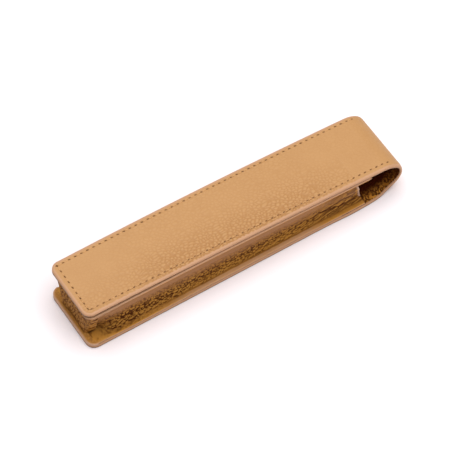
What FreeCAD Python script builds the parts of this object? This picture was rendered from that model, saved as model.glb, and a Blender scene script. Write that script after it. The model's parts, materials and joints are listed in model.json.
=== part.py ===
import FreeCAD, Part
import math
import os

# A single pen sleeve lying on its back. X runs from the closed end (minus) to the mouth (plus), Y runs
# across, Z is up. One leather strap is the back, turns round the mouth and comes back over the top as the
# flap. A shallow leather pocket stands on the back: two side gussets, an end gusset and a front panel.
# All lengths are in millimetres, all angles in degrees.

Vector = FreeCAD.Vector

# Strap, outline
sleeve_length = 165.0        # from the closed end to the nose of the bend
back_width = 34.2
back_corner_radius = 4.4
flap_bend_width = 33.8       # where the bend turns into the flap
flap_end_width = 31.8        # the flap tapers to this at the closed end
flap_corner_radius = 4.2

# Strap, layers from the outer face inwards
strap_leather = 1.2
strap_lining = 0.6
strap_board = 0.4            # lies in a bed skived into the leather
board_margin = 4.2           # board edge to leather edge
edge_round = 0.8             # painted edge of the strap's outer face

# Bend at the mouth: three tangent arcs of the outer face, then the flap's own gentle bow
lower_bend_radius = 16.0
lower_bend_degrees = 62.0
nose_radius = 7.0
nose_degrees = 78.0
upper_bend_radius = 13.5
upper_bend_degrees = 37.25
half_turn_degrees = 180.0
segments_per_arc = (2, 2, 1)  # bend segments cut from the lower, nose and upper arcs

# Pocket
flap_clearance = 0.3         # flap lining to front panel
front_leather = 0.8
front_lining = 0.5
front_board = 0.3            # lies in a bed skived into the front leather
front_side_inset = 0.35      # front panel's edge to the flap's edge
front_end_inset = 0.3        # front panel ends this far inside the strap's closed end
front_corner_radius = 4.0
front_mouth_from_nose = 18.5  # lower edge of the panel's bevelled mouth end
front_mouth_bevel = 1.4      # the upper edge reaches this much further

# Side gussets: a foot turned out over the strap, a drawn-in wall and a head turned in under the front panel
gusset_leather = 0.9
foot_bend_radius = 1.6
rim_flat = 2.0               # flat part of the foot, seen as the rim round the pocket
wall_top_inset = 0.3         # wall's upper edge to the front panel's edge
wall_draw_in = 1.4           # how far the wall's middle is drawn in from its upper edge
wall_spare = 0.3             # wall height that is trimmed off under the front panel
head_width = 3.0
gusset_mouth_from_nose = 20.5  # at the foot
gusset_mouth_slant = 4.0     # the wall's upper edge lies this much further in

# End gusset
end_leather = 0.7
end_foot_x = 2.4             # wall's foot to the strap's closed end
end_middle_x = 2.6
end_top_x = 1.8
end_corner_radius = 5.0      # in plan, where the wall turns into its tabs
tab_length = 2.8             # how far the tab wraps along each side
tab_slant_rise = 5.6         # rise of the tab's slanted lower edge over its length

# Closure: a magnet in the flap and a steel keeper in the front panel
magnet_diameter = 8.0
magnet_bed = 0.3             # depth in the leather beyond the board
keeper_bed = 0.2
magnet_from_end = 16.0

# Flap stitching
stitch_margin = 2.9
stitch_pitch = 3.0
stitch_length = 2.1
stitch_width = 0.55
stitch_height = 0.2

overrun = 5.0                # how far cutting shapes reach past what they cut

closed_end_x = -sleeve_length / 2
front_mouth_x = sleeve_length / 2 - front_mouth_from_nose
gusset_mouth_x = sleeve_length / 2 - gusset_mouth_from_nose
strap_thickness = strap_leather + strap_lining
front_thickness = front_leather + front_lining


def place(centre, radius, heading):
    """Point on an arc of the side profile where the outer face runs at this heading."""
    angle = math.radians(heading)
    return Vector(centre.x + radius * math.sin(angle), 0, centre.z - radius * math.cos(angle))


def chain_arcs():
    """Centres, radii and headings of the bend's arcs and the flap's bow, tangent from the back on."""
    lower = math.radians(lower_bend_degrees)
    start_x = sleeve_length / 2 - nose_radius - (lower_bend_radius - nose_radius) * math.sin(lower)
    point = Vector(start_x, 0, 0)
    heading = 0.0
    arcs = []
    turns = (lower_bend_degrees, nose_degrees, upper_bend_degrees)
    for radius, turn in zip((lower_bend_radius, nose_radius, upper_bend_radius), turns):
        centre = point * 2 - place(point, radius, heading)
        arcs.append((centre, radius, heading, heading + turn))
        heading += turn
        point = place(centre, radius, heading)
    bow_radius = (point.x - closed_end_x) / math.sin(math.radians(half_turn_degrees - heading))
    centre = point * 2 - place(point, bow_radius, heading)
    arcs.append((centre, bow_radius, heading, half_turn_degrees))
    return start_x, arcs


bend_start_x, strap_arcs = chain_arcs()
flap_centre, flap_radius, flap_heading, _ = strap_arcs[-1]
flap_start_x = place(flap_centre, flap_radius, flap_heading).x
flap_top_z = place(flap_centre, flap_radius, half_turn_degrees).z

foot_bend_y = back_width / 2 - rim_flat
foot_bend_z = strap_thickness + gusset_leather + foot_bend_radius
wall_top_y = flap_end_width / 2 - front_side_inset - wall_top_inset
wall_top_z = flap_top_z - strap_thickness - flap_clearance - front_thickness + wall_spare
wall_middle_z = (foot_bend_z + wall_top_z) / 2


def span_across(face, width):
    """Side-profile face made into a solid of this width, centred on the middle plane."""
    face.translate(Vector(0, -width / 2, 0))
    return face.extrude(Vector(0, width, 0))


def polygon(points):
    return Part.Face(Part.makePolygon(list(points) + [points[0]]))


def arc_band(centre, radius, outer_depth, inner_depth, first, last, width):
    """A layer between two depths below the outer face, between two headings."""
    middle = (first + last) / 2
    outer = [place(centre, radius - outer_depth, h) for h in (first, middle, last)]
    inner = [place(centre, radius - inner_depth, h) for h in (last, middle, first)]
    edges = [Part.Arc(*outer).toShape(), Part.makeLine(outer[-1], inner[0]),
             Part.Arc(*inner).toShape(), Part.makeLine(inner[-1], outer[0])]
    return span_across(Part.Face(Part.Wire(edges)), width)


def flap_band(outer_depth, inner_depth):
    """A layer that follows the flap's bow, from the bend to past the closed end, wider than any panel."""
    tail = math.degrees(math.asin(overrun / flap_radius))
    return arc_band(flap_centre, flap_radius, outer_depth, inner_depth,
                    flap_heading, half_turn_degrees + tail, back_width + flap_bend_width)


def plan(first_x, last_x, width, radius, low_z, high_z, both_ends=False):
    """Upright block with the plan outline of a panel: rounded at the closed end, or at both ends."""
    height = high_z - low_z
    corner = Vector(first_x, -width / 2, low_z)
    extra = 0 if both_ends else radius + overrun
    block = Part.makeBox(last_x - first_x + extra, width, height, corner)
    upright = [e for e in block.Edges if abs(e.Vertexes[0].Z - e.Vertexes[-1].Z) > height / 2]
    block = block.makeFillet(radius, upright)
    if both_ends:
        return block
    return block.common(Part.makeBox(last_x - first_x, width, height, corner))


def rounded(solid, chosen):
    """The painted edge: the chosen outer edges of a strap piece, rounded."""
    return solid.makeFillet(edge_round, chosen)


def on_arc(edge, centre, radius):
    """True for an edge that lies in the outer face of an arc, and runs along or across its rim."""
    ends = [edge.valueAt(edge.FirstParameter), edge.valueAt(edge.LastParameter)]
    ends.append(edge.valueAt((edge.FirstParameter + edge.LastParameter) / 2))
    away = [abs(math.hypot(p.x - centre.x, p.z - centre.z) - radius) for p in ends]
    return max(away) < edge_round / 10


def spans_width(edge, x):
    return all(abs(v.X - x) < edge_round for v in edge.Vertexes)


def flap_half(x):
    """Half the flap's width at this x."""
    share = (x - closed_end_x) / (flap_start_x - closed_end_x)
    return (flap_end_width + (flap_bend_width - flap_end_width) * share) / 2


def tapered_plan(end_inset, side_inset, radius):
    """Upright block with the flap's tapered outline drawn in by the insets, rounded at the closed end."""
    first_x = closed_end_x + end_inset
    last_x = flap_start_x + overrun
    first_y = flap_half(first_x) - side_inset
    last_y = flap_half(last_x) - side_inset
    height = flap_top_z + overrun
    base = polygon([Vector(first_x, -first_y, 0), Vector(last_x, -last_y, 0),
                    Vector(last_x, last_y, 0), Vector(first_x, first_y, 0)])
    block = base.extrude(Vector(0, 0, height))
    upright = [e for e in block.Edges if abs(e.Vertexes[0].Z - e.Vertexes[-1].Z) > height / 2]
    return block.makeFillet(max(radius, edge_round), [e for e in upright if e.Vertexes[0].X < flap_start_x])


def closure_disc(outer_depth, inner_depth):
    """Round disc that follows the flap's bow at the closure."""
    x = closed_end_x + magnet_from_end
    post = Part.makeCylinder(magnet_diameter / 2, flap_top_z + overrun, Vector(x, 0, 0))
    return flap_band(outer_depth, inner_depth).common(post)


def make_flap():
    outline = tapered_plan(0, 0, flap_corner_radius)
    leather = flap_band(0, strap_leather).common(outline)
    rim = [e for e in leather.Edges if on_arc(e, flap_centre, flap_radius)]
    leather = rounded(leather, [e for e in rim if not spans_width(e, flap_start_x)])
    lining = flap_band(strap_leather, strap_thickness).common(outline)
    magnet = closure_disc(strap_leather - strap_board - magnet_bed, strap_leather)
    board_end = Vector(flap_start_x - board_margin, -flap_bend_width / 2, 0)
    beyond_board = Part.makeBox(sleeve_length, flap_bend_width, flap_top_z + overrun, board_end)
    board = flap_band(strap_leather - strap_board, strap_leather)
    board = board.common(tapered_plan(board_margin, board_margin, flap_corner_radius - board_margin))
    board = board.cut(beyond_board)
    return {"flap_leather": leather.cut(board.fuse(magnet)), "flap_board": board.cut(magnet),
            "flap_lining": lining, "flap_magnet": magnet}


def make_back():
    leather = plan(closed_end_x, bend_start_x, back_width, back_corner_radius, 0, strap_leather)
    rim = [e for e in leather.Edges if max(abs(v.Z) for v in e.Vertexes) < edge_round]
    leather = rounded(leather, [e for e in rim if not spans_width(e, bend_start_x)])
    board = plan(closed_end_x + board_margin, bend_start_x - board_margin, back_width - board_margin * 2,
                 edge_round, strap_leather - strap_board, strap_leather, True)
    lining = plan(closed_end_x, bend_start_x, back_width, back_corner_radius,
                  strap_leather, strap_thickness)
    return {"back_leather": leather.cut(board), "back_board": board, "back_lining": lining}


def bend_cuts():
    """Each bend segment's centre, radius and headings, from the back to the flap."""
    cuts = []
    for (centre, radius, first, last), count in zip(strap_arcs, segments_per_arc):
        step = (last - first) / count
        for index in range(count):
            cuts.append((centre, radius, first + step * index, first + step * (index + 1)))
    return cuts


def make_bend():
    """The bend: leather and lining segments that touch face to face and hinge on the outer face."""
    nodes = {}
    cuts = bend_cuts()
    for number, (centre, radius, first, last) in enumerate(cuts, 1):
        width = back_width + (flap_bend_width - back_width) * number / (len(cuts) + 1)
        leather = arc_band(centre, radius, 0, strap_leather, first, last, width)
        rim = [e for e in leather.Edges if on_arc(e, centre, radius)]
        along = [e for e in rim if abs(e.Vertexes[0].Y - e.Vertexes[-1].Y) < edge_round]
        lining = arc_band(centre, radius, strap_leather, strap_thickness, first, last, width)
        nodes["bend_leather_%d" % number] = rounded(leather, along)
        nodes["bend_lining_%d" % number] = lining
    return nodes


def flap_z(x):
    """Height of the flap's outer face at this x."""
    return flap_centre.z + math.sqrt(flap_radius ** 2 - (x - flap_centre.x) ** 2)


def front_mouth_cutter():
    """Everything beyond the front panel's bevelled mouth end."""
    depth = strap_thickness + flap_clearance
    middle_z = flap_z(front_mouth_x) - depth - front_thickness
    low_z = middle_z - overrun
    high_z = middle_z + overrun
    run = overrun * front_mouth_bevel / front_thickness
    points = [Vector(front_mouth_x - run, 0, low_z), Vector(front_mouth_x + run, 0, high_z),
              Vector(sleeve_length, 0, high_z), Vector(sleeve_length, 0, low_z)]
    return span_across(polygon(points), back_width * 2)


def make_front():
    top = strap_thickness + flap_clearance
    seam = top + front_leather
    beyond = front_mouth_cutter()
    outline = tapered_plan(front_end_inset, front_side_inset, front_corner_radius)
    leather = flap_band(top, seam).common(outline).cut(beyond)
    lining = flap_band(seam, seam + front_lining).common(outline).cut(beyond)
    keeper = closure_disc(seam - front_board - keeper_bed, seam)
    beyond_board = beyond.copy()
    beyond_board.translate(Vector(-board_margin, 0, 0))
    board_plan = tapered_plan(front_end_inset + board_margin, front_side_inset + board_margin,
                              front_corner_radius - board_margin)
    board = flap_band(seam - front_board, seam).common(board_plan).cut(beyond_board)
    return {"front_leather": leather.cut(board.fuse(keeper)), "front_board": board.cut(keeper),
            "front_lining": lining, "front_keeper": keeper}


def under_front():
    """Everything below the front panel, following its bow."""
    depth = strap_thickness + flap_clearance + front_thickness
    return flap_band(depth, depth + flap_top_z)


def wall_top(x):
    """Place of the side wall's upper edge at this x: it follows the front panel's taper."""
    return flap_half(x) - front_side_inset - wall_top_inset


def wall_curve(x, shift):
    """The side wall's outer face at this x as an upright arc in the end view, moved outwards by the shift."""
    top_y = wall_top(x)
    places = ((foot_bend_y - foot_bend_radius, foot_bend_z), (top_y - wall_draw_in, wall_middle_z),
              (top_y, wall_top_z))
    return [Vector(x, y + shift, z) for y, z in places]


def side_section(x):
    """Outline of a side gusset in the end view at this x: foot, foot bend and wall, of even thickness."""
    low = strap_thickness
    high = low + gusset_leather
    slope = math.sqrt(2) / 2
    outer_mid = Vector(x, foot_bend_y - foot_bend_radius * slope, foot_bend_z - foot_bend_radius * slope)
    wide = foot_bend_radius + gusset_leather
    inner_mid = Vector(x, foot_bend_y - wide * slope, foot_bend_z - wide * slope)
    outer = wall_curve(x, 0)
    inner = wall_curve(x, -gusset_leather)
    rim_y = back_width / 2
    tip_low = Vector(x, rim_y, low)
    tip_high = Vector(x, rim_y, high)
    bend_high = Vector(x, foot_bend_y, high)
    bend_low = Vector(x, foot_bend_y, low)
    edges = [Part.makeLine(tip_low, tip_high), Part.makeLine(tip_high, bend_high),
             Part.Arc(bend_high, outer_mid, outer[0]).toShape(), Part.Arc(*outer).toShape(),
             Part.makeLine(outer[2], inner[2]), Part.Arc(inner[2], inner[1], inner[0]).toShape(),
             Part.Arc(inner[0], inner_mid, bend_low).toShape(), Part.makeLine(bend_low, tip_low)]
    return Part.Wire(edges)


def mouth_cutter():
    """Everything beyond the gussets' slanted mouth."""
    top_x = gusset_mouth_x - gusset_mouth_slant
    high_z = wall_top_z + overrun
    points = [Vector(gusset_mouth_x, 0, 0), Vector(gusset_mouth_x, 0, strap_thickness),
              Vector(top_x, 0, wall_top_z), Vector(top_x, 0, high_z),
              Vector(sleeve_length, 0, high_z), Vector(sleeve_length, 0, 0)]
    return span_across(polygon(points), back_width * 2)


def end_curve(shift):
    """The end wall's outer face as an upright arc in the side view, moved inwards by the shift."""
    x = closed_end_x + shift
    foot_z = strap_thickness
    return (Vector(x + end_foot_x, 0, foot_z), Vector(x + end_middle_x, 0, wall_middle_z),
            Vector(x + end_top_x, 0, wall_top_z + overrun))


def end_side(shift):
    """Everything on the pocket's side of the end wall's outer face, moved inwards by the shift."""
    end = end_curve(shift)
    far_x = closed_end_x + sleeve_length
    corners = [Vector(far_x, 0, end[2].z), Vector(far_x, 0, end[0].z)]
    edges = [Part.Arc(*end).toShape(), Part.makeLine(end[2], corners[0]),
             Part.makeLine(corners[0], corners[1]), Part.makeLine(corners[1], end[0])]
    return span_across(Part.Face(Part.Wire(edges)), back_width * 2)


def corner_block(shift):
    """Everything inside the rounded corners where the end wall turns into its tabs, drawn in by the shift."""
    reach = max(wall_top_y, foot_bend_y) + end_leather
    return tapered_plan(end_top_x + shift, flap_end_width / 2 - reach + shift, end_corner_radius - shift)


def core(shift):
    """Block inside the end wall and tabs, drawn in from their outer faces by the shift."""
    side = wall_curve(closed_end_x, end_leather - shift)
    low_y = side[0].y
    mirrored = [Vector(p.x, -p.y, p.z) for p in side]
    low_z = strap_thickness
    foot = Vector(closed_end_x, low_y, low_z)
    far_foot = Vector(closed_end_x, -low_y, low_z)
    edges = [Part.makeLine(far_foot, foot), Part.makeLine(foot, side[0]), Part.Arc(*side).toShape(),
             Part.makeLine(side[2], mirrored[2]), Part.Arc(mirrored[2], mirrored[1], mirrored[0]).toShape(),
             Part.makeLine(mirrored[0], far_foot)]
    section = Part.Face(Part.Wire(edges))
    section.translate(Vector(-overrun, 0, 0))
    return section.extrude(Vector(sleeve_length, 0, 0)).common(end_side(shift)).common(corner_block(shift))


def tab_cutter():
    """What is cut from the end gusset's wrap: all beyond the tabs, and below their slanted edge."""
    corner_x = closed_end_x + end_foot_x + end_leather
    tip_x = closed_end_x + end_foot_x + tab_length
    low_z = strap_thickness + gusset_leather
    high_z = flap_top_z + overrun
    points = [Vector(corner_x, 0, 0), Vector(corner_x, 0, low_z), Vector(tip_x, 0, low_z + tab_slant_rise),
              Vector(tip_x, 0, high_z), Vector(sleeve_length, 0, high_z), Vector(sleeve_length, 0, 0)]
    return span_across(polygon(points), back_width * 2)


def head_strip(corners):
    """A gusset's turned-in head between these corners in plan, glued flat under the front panel."""
    depth = strap_thickness + flap_clearance + front_thickness
    block = polygon([Vector(x, y, 0) for x, y in corners]).extrude(Vector(0, 0, flap_top_z))
    return flap_band(depth, depth + gusset_leather).common(block)


def make_end_gusset(below):
    """The wall at the closed end, tabs that wrap both corners, a turned-out foot and a turned-in head."""
    inner = core(end_leather)
    corner_y = wall_curve(closed_end_x, end_leather)[0].y
    head_x = closed_end_x + end_foot_x
    head_y = wall_top_y - gusset_leather - head_width
    walls = core(0).cut(inner).cut(tab_cutter()).common(below)
    foot = Part.makeBox(end_foot_x + end_leather, corner_y * 2, gusset_leather,
                        Vector(closed_end_x, -corner_y, strap_thickness))
    head = head_strip([(head_x, -head_y), (head_x + head_width, -head_y),
                       (head_x + head_width, head_y), (head_x, head_y)]).common(inner)
    return walls.fuse([foot, head]).removeSplitter()


def make_side_gusset(below, end):
    """The far side gusset: its wall stops inside the end wall, and its foot runs on round the corner."""
    ends = (closed_end_x, flap_start_x)
    side = Part.makeLoft([side_section(x) for x in ends], True, True).common(below)
    inside = end_side(end_leather * 2).common(corner_block(end_leather * 2))
    head_inset = gusset_leather + head_width
    head = head_strip([(x, wall_top(x) - head_inset) for x in ends] + [(x, wall_top(x)) for x in ends[::-1]])
    side = side.fuse(head.common(inside)).cut(mouth_cutter())
    rim = Part.makeBox(sleeve_length * 2, back_width * 2, strap_thickness + gusset_leather,
                       Vector(closed_end_x - overrun, -back_width, 0))
    corner_y = wall_curve(closed_end_x, end_leather)[0].y
    end_foot = Part.makeBox(end_foot_x + end_leather, corner_y, flap_top_z, Vector(closed_end_x, 0, 0))
    wall = side.cut(rim).common(end_side(end_leather)).common(corner_block(end_leather))
    outline = plan(closed_end_x, sleeve_length, back_width, back_corner_radius, 0, flap_top_z)
    foot = side.common(rim).common(outline).cut(end_foot)
    return wall.fuse(foot).cut(end).removeSplitter()


def make_gussets():
    below = under_front()
    end = make_end_gusset(below)
    far = make_side_gusset(below, end)
    near = far.mirror(Vector(0, 0, 0), Vector(0, 1, 0))
    return {"end_gusset": end, "far_gusset": far, "near_gusset": near}


def dash_row(start, end):
    """A row of stitches between two places in plan, evenly spread at about the pitch and laid on the flap."""
    run = end - start
    count = max(int(round(run.Length / stitch_pitch)), 1)
    length = stitch_length * run.Length / count / stitch_pitch
    size_x, size_y = (length, stitch_width) if abs(run.x) > abs(run.y) else (stitch_width, length)
    dashes = []
    for index in range(count):
        middle = start + run * ((index + 0.5) / count)
        lean = math.degrees(math.asin((middle.x - flap_centre.x) / flap_radius))
        dash = Part.makeBox(size_x, size_y, stitch_height, Vector(-size_x / 2, -size_y / 2, 0))
        dash.rotate(Vector(0, 0, 0), Vector(0, 1, 0), lean)
        dash.translate(Vector(middle.x, middle.y, flap_z(middle.x)))
        dashes.append(dash)
    return dashes


def make_stitches():
    """The flap's stitching: short threads standing a little proud of the leather along three sides."""
    row_x = closed_end_x + stitch_margin
    end_y = flap_half(row_x) - stitch_margin
    bend_y = flap_half(flap_start_x) - stitch_margin
    near, far = Vector(row_x, -end_y, 0), Vector(row_x, end_y, 0)
    dashes = dash_row(near, far)
    dashes += dash_row(near, Vector(flap_start_x, -bend_y, 0))
    dashes += dash_row(far, Vector(flap_start_x, bend_y, 0))
    return {"flap_stitches": Part.makeCompound(dashes)}


def whole_solids(name, shape):
    """Stops on an empty or broken piece; a piece in one solid is written as that solid."""
    solids = shape.Solids
    if not solids or not shape.isValid():
        raise RuntimeError("%s has no valid solid" % name)
    if len(solids) == 1:
        return solids[0]
    return Part.makeCompound(solids)


def main():
    os.makedirs("parts", exist_ok=True)
    nodes = {}
    for maker in (make_back, make_bend, make_flap, make_front, make_gussets, make_stitches):
        nodes.update(maker())
    for name, shape in nodes.items():
        shape = whole_solids(name, shape)
        print("%-16s solids %3d, volume %8.2f mm3" % (name, len(shape.Solids), shape.Volume))
        shape.exportStep("parts/%s.step" % name)
    for number, (centre, radius, first, last) in enumerate(bend_cuts() + [strap_arcs[-1]], 1):
        line = place(centre, radius, first)
        print("hinge line %d at x %.4f z %.4f, heading %.2f" % (number, line.x, line.z, first))


main()
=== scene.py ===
import json
import math
import bmesh
import bpy
import numpy as np
from mathutils import Matrix, Vector

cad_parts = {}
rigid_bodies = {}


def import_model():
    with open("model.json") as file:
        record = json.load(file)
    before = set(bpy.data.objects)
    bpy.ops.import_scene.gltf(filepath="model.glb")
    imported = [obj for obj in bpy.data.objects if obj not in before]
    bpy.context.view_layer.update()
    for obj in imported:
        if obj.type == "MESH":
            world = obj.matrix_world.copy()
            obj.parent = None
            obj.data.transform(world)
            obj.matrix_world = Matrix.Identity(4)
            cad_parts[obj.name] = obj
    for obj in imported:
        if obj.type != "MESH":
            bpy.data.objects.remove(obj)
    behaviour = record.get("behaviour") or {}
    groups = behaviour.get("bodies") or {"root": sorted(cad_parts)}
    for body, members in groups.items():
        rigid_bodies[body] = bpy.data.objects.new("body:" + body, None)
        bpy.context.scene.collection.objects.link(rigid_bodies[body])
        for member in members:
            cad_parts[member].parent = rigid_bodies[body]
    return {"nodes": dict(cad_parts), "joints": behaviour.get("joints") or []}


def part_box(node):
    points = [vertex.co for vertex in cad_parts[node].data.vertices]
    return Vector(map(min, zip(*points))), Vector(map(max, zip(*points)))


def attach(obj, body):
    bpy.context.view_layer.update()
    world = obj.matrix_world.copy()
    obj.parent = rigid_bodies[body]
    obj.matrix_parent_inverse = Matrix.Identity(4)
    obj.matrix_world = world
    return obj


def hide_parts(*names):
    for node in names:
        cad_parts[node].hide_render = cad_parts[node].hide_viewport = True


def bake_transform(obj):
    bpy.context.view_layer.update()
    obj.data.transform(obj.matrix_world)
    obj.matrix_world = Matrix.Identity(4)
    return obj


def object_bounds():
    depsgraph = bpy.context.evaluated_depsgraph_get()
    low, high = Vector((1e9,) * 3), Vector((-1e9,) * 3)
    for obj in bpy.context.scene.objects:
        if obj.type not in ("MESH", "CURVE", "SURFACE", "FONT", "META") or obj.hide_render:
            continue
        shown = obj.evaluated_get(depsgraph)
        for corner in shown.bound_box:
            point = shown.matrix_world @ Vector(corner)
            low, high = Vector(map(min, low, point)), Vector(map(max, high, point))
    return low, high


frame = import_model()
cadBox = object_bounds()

mm = 0.001


# Repeatable surface noise, used to shape the leather

def lattice(i, j, seed):  # a fixed number from 0 to 1 for each crossing of a grid
    n = np.sin(i * 127.1 + j * 311.7 + seed * 74.7) * 43758.5453
    return n - np.floor(n)


def between(a, b, share):
    return a + (b - a) * share


def smooth(low, high, value):
    t = np.clip((value - low) / (high - low), 0, 1)
    return t * t * (3 - 2 * t)


def bell(offset, width):  # 1 in the middle, falling away on both sides
    return np.exp(-(offset / width) ** 2)


def softNoise(u, v, seed):  # rolling, from -1 to 1, about one swell per unit
    i, j = np.floor(u), np.floor(v)
    fu, fv = smooth(0, 1, u - i), smooth(0, 1, v - j)
    low = lattice(i, j, seed) * (1 - fu) + lattice(i + 1, j, seed) * fu
    high = lattice(i, j + 1, seed) * (1 - fu) + lattice(i + 1, j + 1, seed) * fu
    return (low * (1 - fv) + high * fv) * 2 - 1


def ripple(u, v, size, seed):  # soft noise with swells of this length and width
    return softNoise(u / size[0], v / size[1], seed)


def pebbles(u, v, seed):  # rounded cells: 0 in the creases, 1 on the crowns, one cell per unit
    i, j = np.floor(u), np.floor(v)
    first = np.full(np.shape(u), 9.0)
    second = first.copy()
    for di in (-1, 0, 1):
        for dj in (-1, 0, 1):
            a, b = i + di, j + dj
            gap = np.hypot(a + lattice(a, b, seed) - u, b + lattice(a, b, seed + 3) - v)
            second = np.minimum(second, np.maximum(first, gap))
            first = np.minimum(first, gap)
    return smooth(0, 0.5, second - first)


def edgeRound(gap, reach, drop):  # how far a rounded edge falls away, at this distance from the outline
    t = np.clip(1 - gap / reach, 0, 1)
    return drop * (1 - np.sqrt(1 - t * t))


# The strap's outer face in the side view, from the hinge lines: back, three arcs, then the flap's bow

hinges = [np.array((j["pos_m"][0], j["pos_m"][2])) for j in frame["joints"]]
hingeArcs = (0, 0, 1, 1, 2, 3)  # the arc that each hinge line lies on
bodyChain = [frame["joints"][0]["parent"]] + [j["child"] for j in frame["joints"]]
closedX = cadBox[0].x
farSpread = 0.04  # the flap's far half is this much wider at the closed end
farBulge = 0.5  # and swells by this share of that half way along


def circleCentre(a, b, c):
    ab, ac = b - a, c - a
    turn = 2 * (ab[0] * ac[1] - ab[1] * ac[0])
    across = (ac[1] * ab.dot(ab) - ab[1] * ac.dot(ac)) / turn
    along = (ab[0] * ac.dot(ac) - ac[0] * ab.dot(ab)) / turn
    return a + np.array((across, along))


def headingAt(point, centre):
    return math.atan2(point[0] - centre[0], centre[1] - point[1])


def inwardAt(point, centre):
    turn = headingAt(point, centre)
    return np.array((-math.sin(turn), math.cos(turn)))


def strapArcs():
    lower = circleCentre(*hinges[0:3])
    nose = circleCentre(*hinges[2:5])
    inward = inwardAt(hinges[4], nose)
    step = hinges[5] - hinges[4]
    upper = hinges[4] + inward * step.dot(step) / (2 * step.dot(inward))
    reach = hinges[5][0] - closedX
    bowCentre = hinges[5] + inwardAt(hinges[5], upper) * reach / math.sin(headingAt(hinges[5], upper))
    found = []
    start = hinges[0][0] - closedX
    for centre, first, last in ((lower, 0, 2), (nose, 2, 4), (upper, 4, 5), (bowCentre, 5, None)):
        radius = np.linalg.norm(hinges[first] - centre)
        heading = headingAt(hinges[first], centre)
        end = math.pi if last is None else headingAt(hinges[last], centre)
        found.append({"centre": centre, "radius": radius, "heading": heading, "start": start})
        start += radius * (end - heading)
    return found, start


arcs, strapEnd = strapArcs()
bow = arcs[-1]
hingeAt = []  # length along the strap at each hinge line
for spot, arcIndex in zip(hinges, hingeArcs):
    arc = arcs[arcIndex]
    hingeAt.append(arc["start"] + (headingAt(spot, arc["centre"]) - arc["heading"]) * arc["radius"])


def flapShare(s):  # 0 up to the bend's end, 1 at the flap's closed end
    return np.clip((s - hingeAt[-1]) / (strapEnd - hingeAt[-1]), 0, 1)


def strapPlace(s, y, depth):  # a point by length along, place across and depth below the outer face
    s, y, depth = np.broadcast_arrays(np.asarray(s, float), y, depth)
    wider = flapShare(s) + farBulge * np.sin(math.pi * flapShare(s))
    y = y * (1 + farSpread * wider * (y > 0))
    x, z = closedX + s, depth.astype(float)
    for arc in arcs:
        turn = arc["heading"] + (s - arc["start"]) / arc["radius"]
        reach = arc["radius"] - depth
        here = s > arc["start"]
        x = np.where(here, arc["centre"][0] + reach * np.sin(turn), x)
        z = np.where(here, arc["centre"][1] - reach * np.cos(turn), z)
    return np.stack((x, y, z), -1)


def flapLengthAt(x):  # length along the strap where the flap's outer face is over this x
    turn = math.pi - np.arcsin((np.asarray(x) - bow["centre"][0]) / bow["radius"])
    return bow["start"] + (turn - bow["heading"]) * bow["radius"]


def underFlap(x, depth):  # height of the layer this far below the flap's outer face
    reach = bow["radius"] - depth
    return bow["centre"][1] + np.sqrt(reach ** 2 - (x - bow["centre"][0]) ** 2)


# Meshes

def meshPiece(name, points, faces, marks, flat=()):
    mesh = bpy.data.meshes.new(name)
    mesh.from_pydata(points.tolist(), [], faces)
    shape = bmesh.new()
    shape.from_mesh(mesh)
    bmesh.ops.recalc_face_normals(shape, faces=shape.faces)
    shape.to_mesh(mesh)
    shape.free()
    smoothed = np.ones(len(mesh.polygons), bool)
    smoothed[list(flat)] = False
    mesh.polygons.foreach_set("use_smooth", smoothed)
    sharp = {mesh.loops[k].edge_index for face in flat for k in mesh.polygons[face].loop_indices}
    for edge in sharp:
        mesh.edges[edge].use_edge_sharp = True
    for mark, values in marks.items():
        kind, field = ("FLOAT_VECTOR", "vector") if values.ndim == 2 else ("FLOAT", "value")
        layer = mesh.attributes.new(mark, kind, "POINT")
        layer.data.foreach_set(field, values.astype(np.float32).ravel())
    piece = bpy.data.objects.new(name, mesh)
    bpy.context.scene.collection.objects.link(piece)
    return piece


def gridFaces(rows, columns, closed=False):
    faces = []
    last = columns if closed else columns - 1
    for i in range(rows - 1):
        for j in range(last):
            k = (j + 1) % columns
            faces.append((i * columns + j, i * columns + k, (i + 1) * columns + k, (i + 1) * columns + j))
    return faces


def layerPiece(name, s, y, depth, marks, gluedS, gluedDepth):
    # a sheet of leather: its seen face is a fine grid, and its glued face is one plain strip
    rows, columns = y.shape
    seen = strapPlace(s[:, None], y, depth).reshape(-1, 3)
    near = strapPlace(gluedS, y[:, 0], gluedDepth)
    far = strapPlace(gluedS, y[:, -1], gluedDepth)
    points = np.concatenate((seen, near, far))
    nearAt, farAt = rows * columns, rows * columns + rows
    faces = gridFaces(rows, columns)
    for i in range(rows - 1):
        left, right = i * columns, i * columns + columns - 1
        faces.append((left, left + columns, nearAt + i + 1, nearAt + i))
        faces.append((right, right + columns, farAt + i + 1, farAt + i))
        faces.append((nearAt + i, nearAt + i + 1, farAt + i + 1, farAt + i))
    flat = []
    for i in (0, rows - 1):
        flat.append(len(faces))
        faces.append([i * columns + j for j in range(columns)] + [farAt + i, nearAt + i])
    grain = np.stack((np.broadcast_to(s[:, None], y.shape), y, depth), -1).reshape(-1, 3) / mm
    rim = np.concatenate((grain[::columns], grain[columns - 1::columns]))
    allMarks = {"grain": np.concatenate((grain, rim))}
    for mark, values in marks.items():
        side = np.zeros(rows * 2) if mark == "hole" else np.concatenate((values[:, 0], values[:, -1]))
        allMarks[mark] = np.concatenate((values.ravel(), side))
    return meshPiece(name, points, faces, allMarks, flat)


def loftPiece(name, rings, marks):
    # a closed skin through rings of points, with a face at each end
    count, around = rings.shape[:2]
    faces = gridFaces(count, around, True)
    flat = [len(faces), len(faces) + 1]
    faces.append(list(range(around)))
    faces.append(list(range((count - 1) * around, count * around)))
    flatMarks = {m: v.reshape((-1, 3) if v.ndim == 3 else -1) for m, v in marks.items()}
    return meshPiece(name, rings.reshape(-1, 3), faces, flatMarks, flat)


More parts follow.
